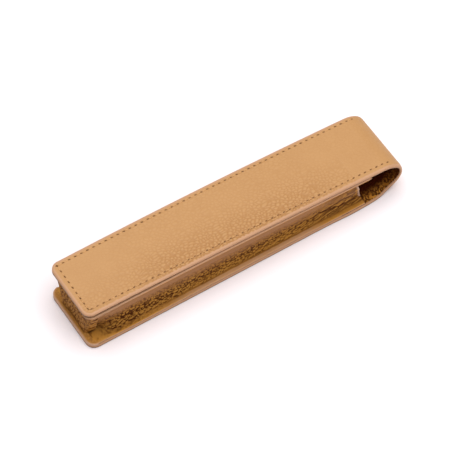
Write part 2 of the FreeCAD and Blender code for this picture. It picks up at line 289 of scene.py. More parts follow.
def dress(piece, finish, node=None, body=None):
    piece.data.materials.append(finish)
    if node:
        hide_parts(node)
    if body:
        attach(piece, body)
    return piece


def evenSteps(first, last, step):
    return np.linspace(first, last, max(int(round(abs(last - first) / step)), 1) + 1)


def quarterSteps(reach, count):  # places inwards from a rounded edge, closest at the edge
    return reach * (1 - np.cos(np.linspace(0, math.pi / 2, count)))


def acrossRows(half, edge, inner):
    # places across each row: closely spaced at both edges, even between
    across = half[:, None] - edge[None, :]
    middle = across[:, -1:] * np.linspace(-1, 1, inner)[None, 1:-1]
    return np.concatenate((-across, middle, across[:, ::-1]), 1)


def lengthAlong(line):  # from a line's first point to each of its points
    return np.concatenate(([0], np.cumsum(np.linalg.norm(np.diff(line, axis=0), axis=1))))


# Node trees written as sums

class Wire:
    def __init__(self, finish, socket):
        self.finish = finish
        self.socket = socket

    def sum(self, operation, first, second):
        return self.finish.node("ShaderNodeMath", {"operation": operation}, {0: first, 1: second})

    def __add__(self, other):
        return self.sum("ADD", self, other)

    def __radd__(self, other):
        return self.sum("ADD", other, self)

    def __sub__(self, other):
        return self.sum("SUBTRACT", self, other)

    def __rsub__(self, other):
        return self.sum("SUBTRACT", other, self)

    def __mul__(self, other):
        return self.sum("MULTIPLY", self, other)

    def __rmul__(self, other):
        return self.sum("MULTIPLY", other, self)


class Finish:
    def __init__(self, name):
        self.material = bpy.data.materials.new(name)
        self.material.use_nodes = True
        self.tree = self.material.node_tree
        self.tree.nodes.clear()

    def node(self, kind, settings=None, inputs=None, out=0):
        made = self.tree.nodes.new(kind)
        for key, value in (settings or {}).items():
            setattr(made, key, value)
        for key, value in (inputs or {}).items():
            if isinstance(value, Wire):
                self.tree.links.new(value.socket, made.inputs[key])
            else:
                made.inputs[key].default_value = value
        return Wire(self, made.outputs[out] if made.outputs else None)

    def mark(self, name, out=2):  # 2 reads a number, 1 a vector
        return self.node("ShaderNodeAttribute", {"attribute_name": name}, None, out)

    def ownPlace(self):  # the object's own coordinates
        return self.node("ShaderNodeTexCoord", None, None, 3)

    def mix(self, factor, first, second):
        return self.node("ShaderNodeMix", {"data_type": "RGBA"}, {0: factor, 6: first, 7: second}, 2)

    def ramp(self, value, low, high):
        return self.node("ShaderNodeMapRange", {"interpolation_type": "SMOOTHSTEP"},
                         {"Value": value, "From Min": low, "From Max": high})

    def noise(self, vector, scale, detail=2.0):
        return self.node("ShaderNodeTexNoise", None, {"Vector": vector, "Scale": scale, "Detail": detail})

    def stretch(self, vector, scale):
        return self.node("ShaderNodeVectorMath", {"operation": "MULTIPLY"}, {0: vector, 1: scale})

    def bump(self, height, strength, distance):
        return self.node("ShaderNodeBump", None,
                         {"Height": height, "Strength": strength, "Distance": distance})

    def surface(self, inputs):
        shader = self.node("ShaderNodeBsdfPrincipled", None, inputs)
        self.node("ShaderNodeOutputMaterial", None, {"Surface": shader})
        return self.material


# Leathers: paintReach and paintSoft are in millimetres from an edge

# The hole colour darkens the needle holes, the lines beside the end wall's tabs and the back's lower edge as
# painted shade
# band is painted shade on the lining; on the brown it tints the end wall's crests as a painted highlight, and
# gives the side walls' upper band and the end rim a tone
# crease darkens the valleys of pebbles, grit and wrinkles: partly the grain's own tone, mostly painted shade
leatherFinishes = {
    "tan": {
        "hide": (0.47, 0.252, 0.1, 1), "deep": (0.456, 0.242, 0.095, 1), "crease": (0.30, 0.125, 0.03, 1),
        "paint": (0.47, 0.258, 0.14, 1), "hole": (0.085, 0.03, 0.006, 1), "band": (0.5, 0.26, 0.1, 1),
        "paintReach": 1.2, "paintSoft": 0.2, "rough": 0.47, "gloss": 0.25, "creaseShare": 0.3,
        "grainHeight": 0.05 * mm,
    },
    "brown": {
        "hide": (0.485, 0.224, 0.041, 1), "deep": (0.425, 0.186, 0.029, 1), "crease": (0.07, 0.017, 0.001, 1),
        "paint": (0.5, 0.325, 0.235, 1), "hole": (0.03, 0.011, 0.004, 1), "band": (0.318, 0.15, 0.061, 1),
        "paintReach": 1.15, "paintSoft": 0.75, "rough": 0.55, "gloss": 0.07, "creaseShare": 0.95,
        "grainHeight": 0.06 * mm,
    },
    "lining": {
        "hide": (0.56, 0.24, 0.04, 1), "deep": (0.46, 0.18, 0.024, 1), "crease": (0.035, 0.005, 0.0005, 1),
        "paint": (0.45, 0.25, 0.14, 1), "hole": (0.03, 0.011, 0.004, 1), "band": (0.055, 0.006, 0.0005, 1),
        "paintReach": 0.75, "paintSoft": 0.2, "rough": 0.6, "gloss": 0.05, "creaseShare": 0.9,
        "grainHeight": 0.06 * mm,
    },
}
hideTexture = {  # scales are in swells per millimetre
    "detail": 3.0, "cloudScale": 0.09, "cloudRamp": (0.3, 0.7),
    "fineScale": 3.2, "fineRamp": (0.35, 0.8), "fineShare": 0.12, "poreScale": 2.1,
    "wobbleScale": 0.5, "wobble": 0.25,  # the limit of the edge paint wanders
    "roughSpread": 0.16, "paintGloss": 0.08, "paintCalm": 0.9, "bump": 0.55,
}


def leatherFinish(name):
    look, texture = leatherFinishes[name], hideTexture
    f = Finish(name + "Leather")
    place = f.mark("grain", 1)
    cloudy = f.noise(place, texture["cloudScale"], texture["detail"])
    fine = f.noise(place, texture["fineScale"], texture["detail"])
    pores = f.node("ShaderNodeTexVoronoi", {"feature": "SMOOTH_F1"},
                   {"Vector": place, "Scale": texture["poreScale"]})
    wobble = (f.noise(place, texture["wobbleScale"]) - 0.5) * texture["wobble"]
    reach, soft = look["paintReach"], look["paintSoft"]
    painted = 1 - f.ramp(f.mark("edge") + wobble, reach - soft, reach + soft)
    hide = f.mix(f.ramp(cloudy, *texture["cloudRamp"]), look["deep"], look["hide"])
    # painted shade: the crease mark darkens valleys and creases towards the crease colour
    hide = f.mix(f.mark("crease") * look["creaseShare"], hide, look["crease"])
    hide = f.mix(f.ramp(fine, *texture["fineRamp"]) * texture["fineShare"], hide, look["crease"])
    # the band mark: painted shade on the lining, a painted highlight tint on the end wall's crests, a plain
    # tone elsewhere
    hide = f.mix(f.mark("band"), hide, look["band"])
    colour = f.mix(painted, hide, look["paint"])
    # painted shade in the needle holes, beside the end wall's tabs and along the back's lower edge
    colour = f.mix(f.mark("hole"), colour, look["hole"])
    rough = look["rough"] + (fine - 0.5) * texture["roughSpread"] - painted * texture["paintGloss"]
    grain = (pores * 0.5 + fine * 0.5) * (1 - painted * texture["paintCalm"])
    normal = f.bump(grain, texture["bump"], look["grainHeight"])
    return f.surface({"Base Color": colour, "Roughness": rough, "Normal": normal,
                      "Specular IOR Level": look["gloss"]})


threadLook = {
    "dark": (0.48, 0.25, 0.092, 1), "light": (0.58, 0.315, 0.125, 1), "scale": 4.0, "detail": 3.0,
    "ramp": (0.3, 0.7), "rough": 0.6, "roughSpread": 0.2,
}


def threadFinish():
    f = Finish("tanThread")
    plies = f.noise(f.mark("grain", 1), threadLook["scale"], threadLook["detail"])
    colour = f.mix(f.ramp(plies, *threadLook["ramp"]), threadLook["dark"], threadLook["light"])
    rough = threadLook["rough"] + (plies - 0.5) * threadLook["roughSpread"]
    return f.surface({"Base Color": colour, "Roughness": rough})


boardLook = {
    "dark": (0.30, 0.21, 0.13, 1), "light": (0.46, 0.36, 0.26, 1), "scale": 900.0, "detail": 4.0,
    "ramp": (0.35, 0.7), "rough": 0.8, "roughSpread": 0.2,
}


def boardFinish():
    f = Finish("bondedBoard")
    flecks = f.noise(f.ownPlace(), boardLook["scale"], boardLook["detail"])
    colour = f.mix(f.ramp(flecks, *boardLook["ramp"]), boardLook["dark"], boardLook["light"])
    rough = boardLook["rough"] + (flecks - 0.5) * boardLook["roughSpread"]
    return f.surface({"Base Color": colour, "Roughness": rough})


steelLook = {
    "dark": (0.55, 0.55, 0.56, 1), "light": (0.72, 0.72, 0.73, 1), "stretch": (200.0, 6000.0, 200.0),
    "rough": 0.25, "roughSpread": 0.2,
}


def steelFinish():
    f = Finish("platedSteel")
    brushed = f.noise(f.stretch(f.ownPlace(), steelLook["stretch"]), 1.0)
    colour = f.mix(brushed, steelLook["dark"], steelLook["light"])
    rough = steelLook["rough"] + brushed * steelLook["roughSpread"]
    return f.surface({"Base Color": colour, "Roughness": rough, "Metallic": 1.0})


floorLook = {"dark": (0.87, 0.81, 0.83, 1), "light": (0.89, 0.83, 0.85, 1), "scale": 60.0, "rough": 0.9}


def floorFinish():
    f = Finish("paleFloor")
    paper = f.noise(f.ownPlace(), floorLook["scale"])
    colour = f.mix(paper, floorLook["dark"], floorLook["light"])
    return f.surface({"Base Color": colour, "Roughness": floorLook["rough"]})


tanLeather = leatherFinish("tan")
brownLeather = leatherFinish("brown")
liningLeather = leatherFinish("lining")
print("finishes ready")


# Strap: outer leather and lining, cut where the bend hinges and joined smoothly across each hinge

strap = {
    "leather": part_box("back_lining")[0].z, "thickness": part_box("back_lining")[1].z,
    "backHalf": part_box("back_leather")[1].y, "flapHalf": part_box("flap_leather")[1].y,
    "flapEndHalf": 15.9 * mm, "backCorner": 4.4 * mm, "flapCorner": 4.2 * mm,
    "backSpread": 0.7 * mm, "spreadStop": 4 * mm,  # the back spreads under the rim, up to the bend
    "bendDraw": 0.45 * mm, "drawLong": 5 * mm,  # it draws in where it bends
    "bendSpread": 0.4 * mm, "bendSpreadAt": 13 * mm, "bendSpreadLong": 9 * mm,  # and spreads more before that
    "edgeReach": 1.35 * mm, "edgeDrop": 0.75 * mm, "backReach": 0.6 * mm, "backDrop": 0.4 * mm,
    "noseReach": 1.2 * mm, "noseDrop": 0.35 * mm, "noseLong": 7 * mm,  # more on the nose of the bend
    "step": 0.28 * mm, "rimStep": 0.25 * mm, "edgeRows": 9, "cutRow": 0.02 * mm,
    "grip": 4.0 * mm,  # leather each side of the bend that stays with the back or the flap
    "pebble": 1.7 * mm, "pebbleDepth": 0.2 * mm, "pebbleLean": ((0.8, 0.5), (-0.4, 1.1)),
    "drift": 0.5, "driftSize": (5 * mm, 5 * mm), "swell": 0.05 * mm, "swellSize": (14 * mm, 9 * mm),
    # the last two values on the next line: painted shade that darkens the back's lower edge, and how far in
    # from the edge it reaches
    "calmEdge": (0.4 * mm, 1.6 * mm), "worn": 0.75, "wornEdge": (0.3 * mm, 0.7 * mm),
}
stitch = {
    "margin": 2.6 * mm, "aside": 0.5 * mm, "endMargin": 3.1 * mm,  # rows sit a little to the far side
    "pitch": 3.1 * mm, "pastBend": 3.7 * mm, "cornerEnd": 0.9 * mm, "cornerSide": 1.2 * mm,
    "holeLong": 0.7 * mm, "holeWide": 0.3 * mm, "holeDepth": 0.45 * mm, "holeLean": 0.2, "holeVary": 0.2,
    "holeEdge": (0.5, 1.25), "groove": 0.06 * mm, "grooveWide": 0.5 * mm, "step": 0.13 * mm,
    "threadRadius": 0.24 * mm, "proud": 0.1 * mm, "span": 0.7, "taper": 0.3, "dip": 0.5 * mm,
    "ply": 0.16, "twist": 7.0, "rings": 13, "around": 8,
}


def halfWidth(s):  # as wide as the back up to the bend, then drawn in to the flap's closed end
    half = between(strap["backHalf"], strap["flapHalf"], smooth(hingeAt[0], hingeAt[-1], s))
    half = half + strap["backSpread"] * (1 - smooth(hingeAt[0] - strap["spreadStop"], hingeAt[1], s))
    half = half - strap["bendDraw"] * bell(s - hingeAt[1], strap["drawLong"])
    half = half + strap["bendSpread"] * bell(s - hingeAt[0] + strap["bendSpreadAt"], strap["bendSpreadLong"])
    return half - (strap["flapHalf"] - strap["flapEndHalf"]) * flapShare(s)


def cornerDraw(t, radius):  # how far a rounded corner pulls the outline in, at this distance from the end
    t = np.clip(t, 0, radius)
    return radius - np.sqrt(radius ** 2 - (radius - t) ** 2)


def outlineHalf(s):
    return halfWidth(s) - cornerDraw(s, strap["backCorner"]) - cornerDraw(strapEnd - s, strap["flapCorner"])


def cornerGap(t, side, radius):  # distance to an outline with a rounded corner
    inCorner = (t < radius) & (side < radius)
    return np.where(inCorner, radius - np.hypot(radius - t, radius - side), np.minimum(t, side))


def strapGap(s, y):
    side = halfWidth(s) - np.abs(y)
    backGap = cornerGap(s, side, strap["backCorner"])
    flapGap = cornerGap(strapEnd - s, side, strap["flapCorner"])
    return np.maximum(np.minimum(backGap, flapGap), 0)


# places inwards from the strap's edges and ends, closely spaced at the rounding and at the stitch lines
rowNear = stitch["margin"] - stitch["aside"] - stitch["grooveWide"]
rowFar = stitch["margin"] + stitch["aside"] + stitch["grooveWide"]
edgeColumns = np.concatenate((
    quarterSteps(strap["edgeReach"], strap["edgeRows"]),
    evenSteps(strap["edgeReach"], rowNear, strap["rimStep"])[1:],
    evenSteps(rowNear, rowFar, stitch["step"])[1:],
    [rowFar + stitch["grooveWide"]]))
innerColumns = int(round((strap["flapHalf"] - edgeColumns[-1]) * 2 / strap["step"]))
endRowNear = stitch["endMargin"] - stitch["grooveWide"]
endRows = np.concatenate((
    quarterSteps(strap["edgeReach"], strap["edgeRows"]),
    evenSteps(strap["edgeReach"], endRowNear, strap["rimStep"])[1:],
    evenSteps(endRowNear, stitch["endMargin"] + stitch["grooveWide"], stitch["step"])[1:]))


def rowPlace(s, side):  # a spot on a side row, as length along the strap and place across it
    return np.array((s, side * (float(halfWidth(s)) - stitch["margin"]) + stitch["aside"]))


def stitchRows():
    # each row: first needle hole, last needle hole, number of stitches, lean of its holes
    endS, bendS = strapEnd - stitch["endMargin"], hingeAt[-1] - stitch["pastBend"]
    farCorner = rowPlace(endS, 1)
    nearEnd = rowPlace(endS, -1) + np.array((0, stitch["cornerEnd"]))
    nearSide = rowPlace(endS - stitch["cornerSide"], -1)
    runs = ((nearSide, rowPlace(bendS, -1), -1), (farCorner, rowPlace(bendS, 1), 1),
            (farCorner, nearEnd, -1), (nearEnd, nearSide, -1))
    rows = []
    for first, last, lean in runs:
        count = max(int(round(np.linalg.norm(last - first) / stitch["pitch"])), 1)
        rows.append((first, last, count, lean * stitch["holeLean"]))
    return rows


rowsOfStitches = stitchRows()


def stitchMarks(s, y):  # distance from the stitch line, and how deep in a needle hole; the hole mark also darkens the holes as painted shade
    line, hole = np.ones(np.shape(s)), np.zeros(np.shape(s))
    vary = stitch["holeVary"]
    for seed, (first, last, count, lean) in enumerate(rowsOfStitches):
        length = np.linalg.norm(last - first)
        way, step = (last - first) / length, length / count
        along = (s - first[0]) * way[0] + (y - first[1]) * way[1]
        off = (y - first[1]) * way[0] - (s - first[0]) * way[1]
        number = np.clip(np.round(along / step), 0, count)
        run = along - number * step
        line = np.minimum(line, np.hypot(off, np.maximum(np.abs(along - length / 2) - length / 2, 0)))
        size = 1 - vary / 2 + vary * lattice(number, seed, 3.0)
        along, off = run + lean * off, off - lean * run
        away = np.hypot(along / stitch["holeLong"], off / stitch["holeWide"]) / size
        deep = 1 - vary + vary * lattice(number, seed, 8.0)
        hole = np.maximum(hole, (1 - smooth(*stitch["holeEdge"], away)) * deep)
    return line, hole


# How strong the pebbles are, by millimetres from the flap's closed end and across it

flapGrain = {
    "ends": 0.45, "middle": 0.55, "closedEnd": (16, 48), "bendEnd": (108, 140),
    "nearSide": 2.0, "sideDrop": 1.45, "sides": (-13, 5),
    "bend": 0.3, "lowerBend": 0.5, "lowerBendZone": (175, 190), "back": 0.8,
}


def grainStrength(s, y):  # strong on the flap's middle and near side, calm at the bend and the closed end
    t = (strapEnd - s) / mm
    middle = flapGrain["middle"] * smooth(*flapGrain["closedEnd"], t) * (1 - smooth(*flapGrain["bendEnd"], t))
    across = flapGrain["nearSide"] - flapGrain["sideDrop"] * smooth(*flapGrain["sides"], y / mm)
    onFlap = (flapGrain["ends"] + middle) * across
    onBend = flapGrain["bend"] + flapGrain["lowerBend"] * smooth(*flapGrain["lowerBendZone"], t)
    return np.where(s < hingeAt[0], flapGrain["back"], np.where(t > flapGrain["bendEnd"][1], onBend, onFlap))


def outerFace(s, y):
    gap = strapGap(s, y)
    line, hole = stitchMarks(s, y)
    inside = smooth(*strap["calmEdge"], gap)
    drift = ripple(s, y, strap["driftSize"], 13) * strap["drift"]
    (longS, longY), (wideS, wideY) = strap["pebbleLean"]
    crown = pebbles((s * longS + y * longY) / strap["pebble"] + drift,
                    (y * wideY + s * wideS) / strap["pebble"] - drift, 11)
    strength = grainStrength(s, y) * inside * (1 - hole)
    swell = ripple(s, y, strap["swellSize"], 5) * 0.5 + 0.5
    turned = smooth(hingeAt[0], hingeAt[-1], s)
    nose = bell(s - hingeAt[3], strap["noseLong"])
    reach = between(strap["backReach"], strap["edgeReach"], turned) + strap["noseReach"] * nose
    drop = between(strap["backDrop"], strap["edgeDrop"], turned) + strap["noseDrop"] * nose
    depth = edgeRound(gap, reach, drop)
    depth = depth + strap["pebbleDepth"] * (1 - crown) * strength + strap["swell"] * swell * inside
    depth = depth + stitch["groove"] * np.exp(-2 * (line / stitch["grooveWide"]) ** 2)
    depth = depth + stitch["holeDepth"] * hole
    onBack = 1 - smooth(hingeAt[1], hingeAt[2], s)
    worn = strap["worn"] * (1 - smooth(*strap["wornEdge"], gap)) * onBack  # painted shade: the back's lower edge is darker
    # the crease mark darkens the pebble valleys: partly the grain's own tone, partly painted shade
    return depth, {"edge": gap / mm, "crease": (1 - crown) * strength, "hole": np.maximum(hole, worn)}


lining = {
    "edgeReach": 0.8 * mm, "edgeDrop": 0.5 * mm, "calmEdge": (0.2 * mm, 0.9 * mm),
    "coarseGrit": (0.6 * mm, 0.75 * mm), "fineGrit": (0.4 * mm, 0.5 * mm), "gritRamp": (-0.7, 0.7),
    "gritDepth": 0.3 * mm, "foldDepth": 0.11 * mm, "foldSize": (0.9 * mm, 5 * mm),  # fine creases in the bend
    "creaseRamp": (0.75, 0.2), "flapCalm": 0.7, "flapFade": 45 * mm,
    # painted shade on the lining: darker round the bend, on the flap and in the pocket, lighter towards the
    # lower bend's edges
    "bendShade": 0.95, "flapShade": 0.88, "pocketShade": 0.9, "mostShade": 0.98,
    "lightEdge": (10 * mm, 15.5 * mm), "pocketFrom": 4 * mm, "pocketTo": 12 * mm,
    "bareShares": (0.6, 0.9), "bareEdge": (0.6 * mm, 2.4 * mm), "bareReach": 3,  # unpainted at the closed end, where the edge is also darkened as painted shadow of the gap under the flap
}


def liningPaintedShade(s, y, onFlap):
    # painted shade: darker inside the pocket and round the bend, except along the lower bend's edges
    inBend = lining["bendShade"] * smooth(hingeAt[0], hingeAt[3], s)
    shade = np.maximum(inBend, 1 - smooth(*lining["lightEdge"], np.abs(y)))
    shade = shade * (1 - onFlap) + lining["flapShade"] * onFlap
    inPocket = smooth(hingeAt[0] - lining["pocketFrom"], hingeAt[0] - lining["pocketTo"], s)
    return np.maximum(shade, lining["pocketShade"] * inPocket)


def innerFace(s, y):
    gap = strapGap(s, y)
    inside = smooth(*lining["calmEdge"], gap)
    grit = 0.5 * ripple(s, y, lining["coarseGrit"], 23) + 0.5 * ripple(s, y, lining["fineGrit"], 29)
    crown = smooth(*lining["gritRamp"], grit)
    inBend = smooth(hingeAt[0], hingeAt[1], s) * (1 - smooth(hingeAt[4], hingeAt[5], s))
    folds = ripple(s, y, lining["foldSize"], 31) * 0.5 + 0.5
    depth = strap["thickness"] - edgeRound(gap, lining["edgeReach"], lining["edgeDrop"])
    depth = depth - (lining["gritDepth"] * (1 - crown) + lining["foldDepth"] * folds * inBend) * inside
    onFlap = smooth(hingeAt[5], hingeAt[5] + lining["flapFade"], s)
    # painted shade: the crease mark darkens the grit's valleys
    crease = smooth(*lining["creaseRamp"], crown) * inside * (1 - lining["flapCalm"] * onFlap)
    bare = smooth(*lining["bareShares"], flapShare(s))
    # painted shadow of the gap under the flap's closed end, on the lining's edge
    bareEdge = bare * (1 - smooth(*lining["bareEdge"], gap))
    shade = np.maximum(lining["mostShade"] * liningPaintedShade(s, y, onFlap), bareEdge)
    return depth, {"edge": gap / mm + lining["bareReach"] * bare, "crease": crease,
                   "hole": np.zeros(np.shape(s)), "band": shade}


def strapLayer(name, s, face, finish):
    y = acrossRows(outlineHalf(s), edgeColumns, innerColumns)
    depth, marks = face(np.broadcast_to(s[:, None], y.shape), y)
    return dress(layerPiece(name, s, y, depth, marks, s, strap["leather"]), finish)


def middleOf(k):
    return (hingeAt[k] + hingeAt[k + 1]) / 2


def strapCuts():
    # where each stretch starts and ends, and the body it rides on or the two bodies it lies between
    cuts = [0, hingeAt[0] - strap["grip"]] + [middleOf(k) for k in range(5)]
    cuts += [hingeAt[5] + strap["grip"], strapEnd]
    follows = [(bodyChain[0],)] + list(zip(bodyChain, bodyChain[1:])) + [(bodyChain[-1],)]
    return list(zip(cuts, cuts[1:], follows))


def stretchRows(first, last):
    start = endRows if first == 0 else [first, first + strap["cutRow"]]
    end = strapEnd - endRows[::-1] if last == strapEnd else [last - strap["cutRow"], last]
    return np.concatenate((start, evenSteps(start[-1], end[0], strap["step"])[1:-1], end))


def bendAcross(piece, first, last):  # fixes the piece's placement into its mesh; its end points are found but not used
    ends = [strapPlace(s, 0, strap["thickness"]).tolist() for s in (first, last)]
    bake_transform(piece)


def buildStrap():
    names = ["back"] + ["bend%d" % k for k in range(1, 7)] + ["flap"]
    layers = (("Leather", "_leather", outerFace, tanLeather, "tan_leather"),
              ("Lining", "_lining", innerFace, liningLeather, "brown_leather"))
    for name, (first, last, bodies) in zip(names, strapCuts()):
        rows = stretchRows(first, last)
        for ending, nodeEnding, face, finish, slot in layers:
            piece = strapLayer(name + ending, rows, face, finish)
            if len(bodies) == 1:
                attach(piece, bodies[0])
                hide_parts(name + nodeEnding)
                continue
            bendAcross(piece, first, last)
            if bodies[0] != bodyChain[0]:
                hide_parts(bodies[0].replace("_", nodeEnding + "_"))
    print("strap built")


buildStrap()


# Stitching: short twisted threads between needle holes

def threadRings(start, end, seed):
    # one stitch on the flap: it dips into a needle hole at each end
    count, around = stitch["rings"], stitch["around"]
    u = np.linspace(-1, 1, count)
    middle, reach = (start + end) / 2, (end - start) / 2 * stitch["span"]
    direction = (end - start) / np.linalg.norm(end - start)
    across = np.array((-direction[1], direction[0]))
    radius = stitch["threadRadius"] * (1 - stitch["taper"] * np.abs(u) ** 3)
    centre = stitch["threadRadius"] - stitch["proud"] + stitch["dip"] * np.abs(u) ** 5
    rings, grain = [], []
    for i in range(count):
        spot = middle + reach * u[i]
        for k in range(around):
            angle = math.tau * k / around
            ply = 1 + stitch["ply"] * math.cos(2 * angle - stitch["twist"] * u[i] + seed)
            flat = spot + across * radius[i] * ply * math.cos(angle)
            rings.append(strapPlace(flat[0], flat[1], centre[i] - radius[i] * ply * math.sin(angle)))
            grain.append((spot[0] / mm, spot[1] / mm, k))
    return np.array(rings).reshape(count, around, 3), np.array(grain).reshape(count, around, 3)


def stitchPlaces():
    places = []
    for first, last, count, _ in rowsOfStitches:
        spots = [first + (last - first) * k / count for k in range(count + 1)]
        places += list(zip(spots, spots[1:]))
    return places


def threadPiece(name, places):
    points, faces, grain, flat = [], [], [], []
    for seed, (start, end) in enumerate(places):
        rings, marks = threadRings(start, end, seed)
        base = len(points)
        count, around = rings.shape[:2]
        points += rings.reshape(-1, 3).tolist()
        grain += marks.reshape(-1, 3).tolist()
        faces += [tuple(base + v for v in f) for f in gridFaces(count, around, True)]
        flat += [len(faces), len(faces) + 1]
        faces.append([base + k for k in range(around)])
        faces.append([base + (count - 1) * around + k for k in range(around)])
    piece = meshPiece(name, np.array(points), faces, {"grain": np.array(grain)}, flat)
    return dress(piece, thread)


def buildStitching():
    first, last, bodies = strapCuts()[-2]  # the stretch that leads from the bend into the flap
    onBend = [p for p in stitchPlaces() if (p[0][0] + p[1][0]) / 2 < last]
    onFlap = [p for p in stitchPlaces() if (p[0][0] + p[1][0]) / 2 >= last]
    piece = threadPiece("flapStitching", onFlap)
    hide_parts("flap_stitches")
    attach(piece, bodyChain[-1])
    bendAcross(threadPiece("bendStitching", onBend), first, last)
    print("stitching built")


thread = threadFinish()
buildStitching()


# Front panel of the pocket, under the flap

front = {
    "top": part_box("flap_leather")[1].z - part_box("front_leather")[1].z,
    "leather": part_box("front_leather")[1].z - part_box("front_lining")[1].z, "lining": 0.5 * mm,
    "mouthX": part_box("front_leather")[1].x, "seamX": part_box("front_lining")[1].x, "bevel": 0.55 * mm,
    "endInset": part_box("front_leather")[0].x - closedX, "corner": 4.0 * mm,
    "mouthInset": 0.05 * mm, "closedInset": -0.55 * mm,  # it comes out past the flap towards the closed end
    "edgeReach": 0.75 * mm, "edgeDrop": 0.7 * mm, "edgeRows": 7,
    "mouthDropShare": 0.6, "dropShares": (0.6, 1.0),
    "dip": 0.45 * mm, "dipShares": (0.55, 1.0), "dipEdge": (0.6 * mm, 2.6 * mm),  # dips at the closed end
    "step": 0.364 * mm, "calmEdge": (0.2 * mm, 0.9 * mm), "pebbleShare": 0.8, "crease": 0.7,
    "underPebble": 1.1 * mm, "underDepth": 0.08 * mm, "underBare": 1,
}
front["bottom"] = front["top"] + front["leather"] + front["lining"]
frontFirst, frontLast = float(flapLengthAt(front["mouthX"])), strapEnd - front["endInset"]
frontSeam = float(flapLengthAt(front["seamX"]))


def frontHalf(s):
    share = np.clip((s - frontFirst) / (strapEnd - frontFirst), 0, 1)
    return halfWidth(s) - front["mouthInset"] - (front["closedInset"] - front["mouthInset"]) * share


def frontGap(s, y, first):
    side = frontHalf(s) - np.abs(y)
    return np.maximum(np.minimum(cornerGap(frontLast - s, side, front["corner"]), s - first), 0)


def frontTop(s, y):
    gap = frontGap(s, y, frontFirst)
    inside = smooth(*front["calmEdge"], gap)
    crown = pebbles(s / strap["pebble"], y / strap["pebble"], 41)
    drop = front["edgeDrop"] * between(front["mouthDropShare"], 1, smooth(*front["dropShares"], flapShare(s)))
    dip = front["dip"] * smooth(*front["dipShares"], flapShare(s)) * (1 - smooth(*front["dipEdge"], gap))
    depth = front["top"] + dip + edgeRound(gap, front["edgeReach"], drop)
    depth = depth + strap["pebbleDepth"] * front["pebbleShare"] * (1 - crown) * inside
    # painted shade: the crease mark darkens the pebble valleys
    crease = (1 - crown) * front["crease"] * inside
    return depth, {"edge": gap / mm, "crease": crease, "hole": np.zeros(np.shape(s))}


def frontUnder(s, y):
    gap = frontGap(s, y, frontSeam + front["bevel"])
    inside = smooth(*front["calmEdge"], gap)
    crown = pebbles(s / front["underPebble"], y / front["underPebble"], 43)
    depth = front["bottom"] - edgeRound(gap, front["edgeReach"] / 2, front["edgeDrop"] / 2)
    depth = depth - front["underDepth"] * (1 - crown) * inside
    # painted shade: the crease mark darkens the pebble valleys
    crease = (1 - crown) * front["crease"] * inside
    return depth, {"edge": gap / mm + front["underBare"], "crease": crease, "hole": np.zeros(np.shape(s))}


def buildFront():
    edge = quarterSteps(front["edgeReach"], front["edgeRows"])
    inner = int(round(strap["flapHalf"] * 2 / front["step"]))
    lined = frontSeam + front["bevel"]
    layers = (("frontLeather", frontTop, frontFirst, tanLeather, "tan_leather", "front_leather"),
              ("frontLining", frontUnder, lined, liningLeather, "brown_leather", "front_lining"))
    for name, face, first, finish, slot, node in layers:
        middle = evenSteps(first + edge[-1], frontLast - edge[-1], front["step"])[1:-1]
        s = np.concatenate((first + edge, middle, frontLast - edge[::-1]))
        half = frontHalf(s) - cornerDraw(frontLast - s, front["corner"])
        y = acrossRows(half, edge, inner)
        depth, marks = face(np.broadcast_to(s[:, None], y.shape), y)
        gluedS = s.copy()
        gluedS[0] = frontSeam  # both ends slant to the seam between leather and lining
        piece = layerPiece(name, s, y, depth, marks, gluedS, front["top"] + front["leather"])
        dress(piece, finish, node, "sleeve")
    print("front panel built")


buildFront()


# Sizes of the wall at the closed end, which the side walls run into

endGusset = {
    "leather": 0.7 * mm, "footX": 1.6 * mm, "waistX": 2.1 * mm, "topX": 1.9 * mm, "waistShare": 1.6,
    "bow": 0.6 * mm, "corner": 2.0 * mm, "cornerClear": 0.1 * mm, "footLift": 0.1 * mm, "step": 0.25 * mm,
    "tabX": 7.2 * mm, "tabLean": -0.1, "tabTall": 14 * mm, "tabLift": 0.35 * mm, "tabRow": 0.03 * mm,
    "tabSpots": 16, "cornerSpots": 11, "wallSpots": 85, "wrinkle": 0.2 * mm, "pebbleDepth": 0.45 * mm,
}


# Side gussets: rim, flare, drawn-in wall with lengthwise wrinkles, smooth band under the front panel

gusset = {
    "leather": 0.9 * mm, "mouthX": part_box("near_gusset")[1].x, "mouthSlant": 4.0 * mm,
    "startX": closedX + 3.0 * mm, "rimInset": 0.25 * mm,
    "rimPoints": ((0.3 * mm, 0), (0, 0.36 * mm), (0.18 * mm, 0.73 * mm)),  # in from its edge, and up
    "rimFlat": 1.7 * mm, "rimRise": 0.08 * mm, "flareIn": 3.5 * mm, "flareUp": 1.9 * mm,
    "flareShares": (0.8, 0.42), "waist": 2.0 * mm, "topInset": 0.75 * mm, "band": 4.6 * mm, "head": 3.9 * mm,
    "wallPoints": ((-0.1 * mm, 0.36), (0.2 * mm, 0.62), (0.8 * mm, 0.86)),  # out from the waist, share up
    "bandPoints": ((-0.1 * mm, 0.88), (0.12 * mm, 0.5), (0, 0)),  # out from the top, share down
    "baseClear": 0.05 * mm, "creaseAt": 2.95 * mm,
    "closedHalf": 9.6 * mm, "drawnFrom": 5.5 * mm, "drawnTo": 15.5 * mm,  # drawn in at the closed end
    "mouthOut": 1.2 * mm, "outFrom": 28 * mm, "outTo": 4 * mm,  # and bowed out towards the mouth
    "step": 0.28 * mm, "innerEach": 3, "edgeRows": 7, "edgeReach": 0.6 * mm, "edgeDrop": 0.36 * mm,
    "calmMouth": 0.2, "calmReach": (0.3 * mm, 2.5 * mm),
}
gusset["rimHalf"] = strap["backHalf"] + strap["backSpread"] - gusset["rimInset"]
gusset["topHalf"] = float(frontHalf(strapEnd)) - gusset["topInset"]
gussetTop = float(underFlap(closedX, front["bottom"]))
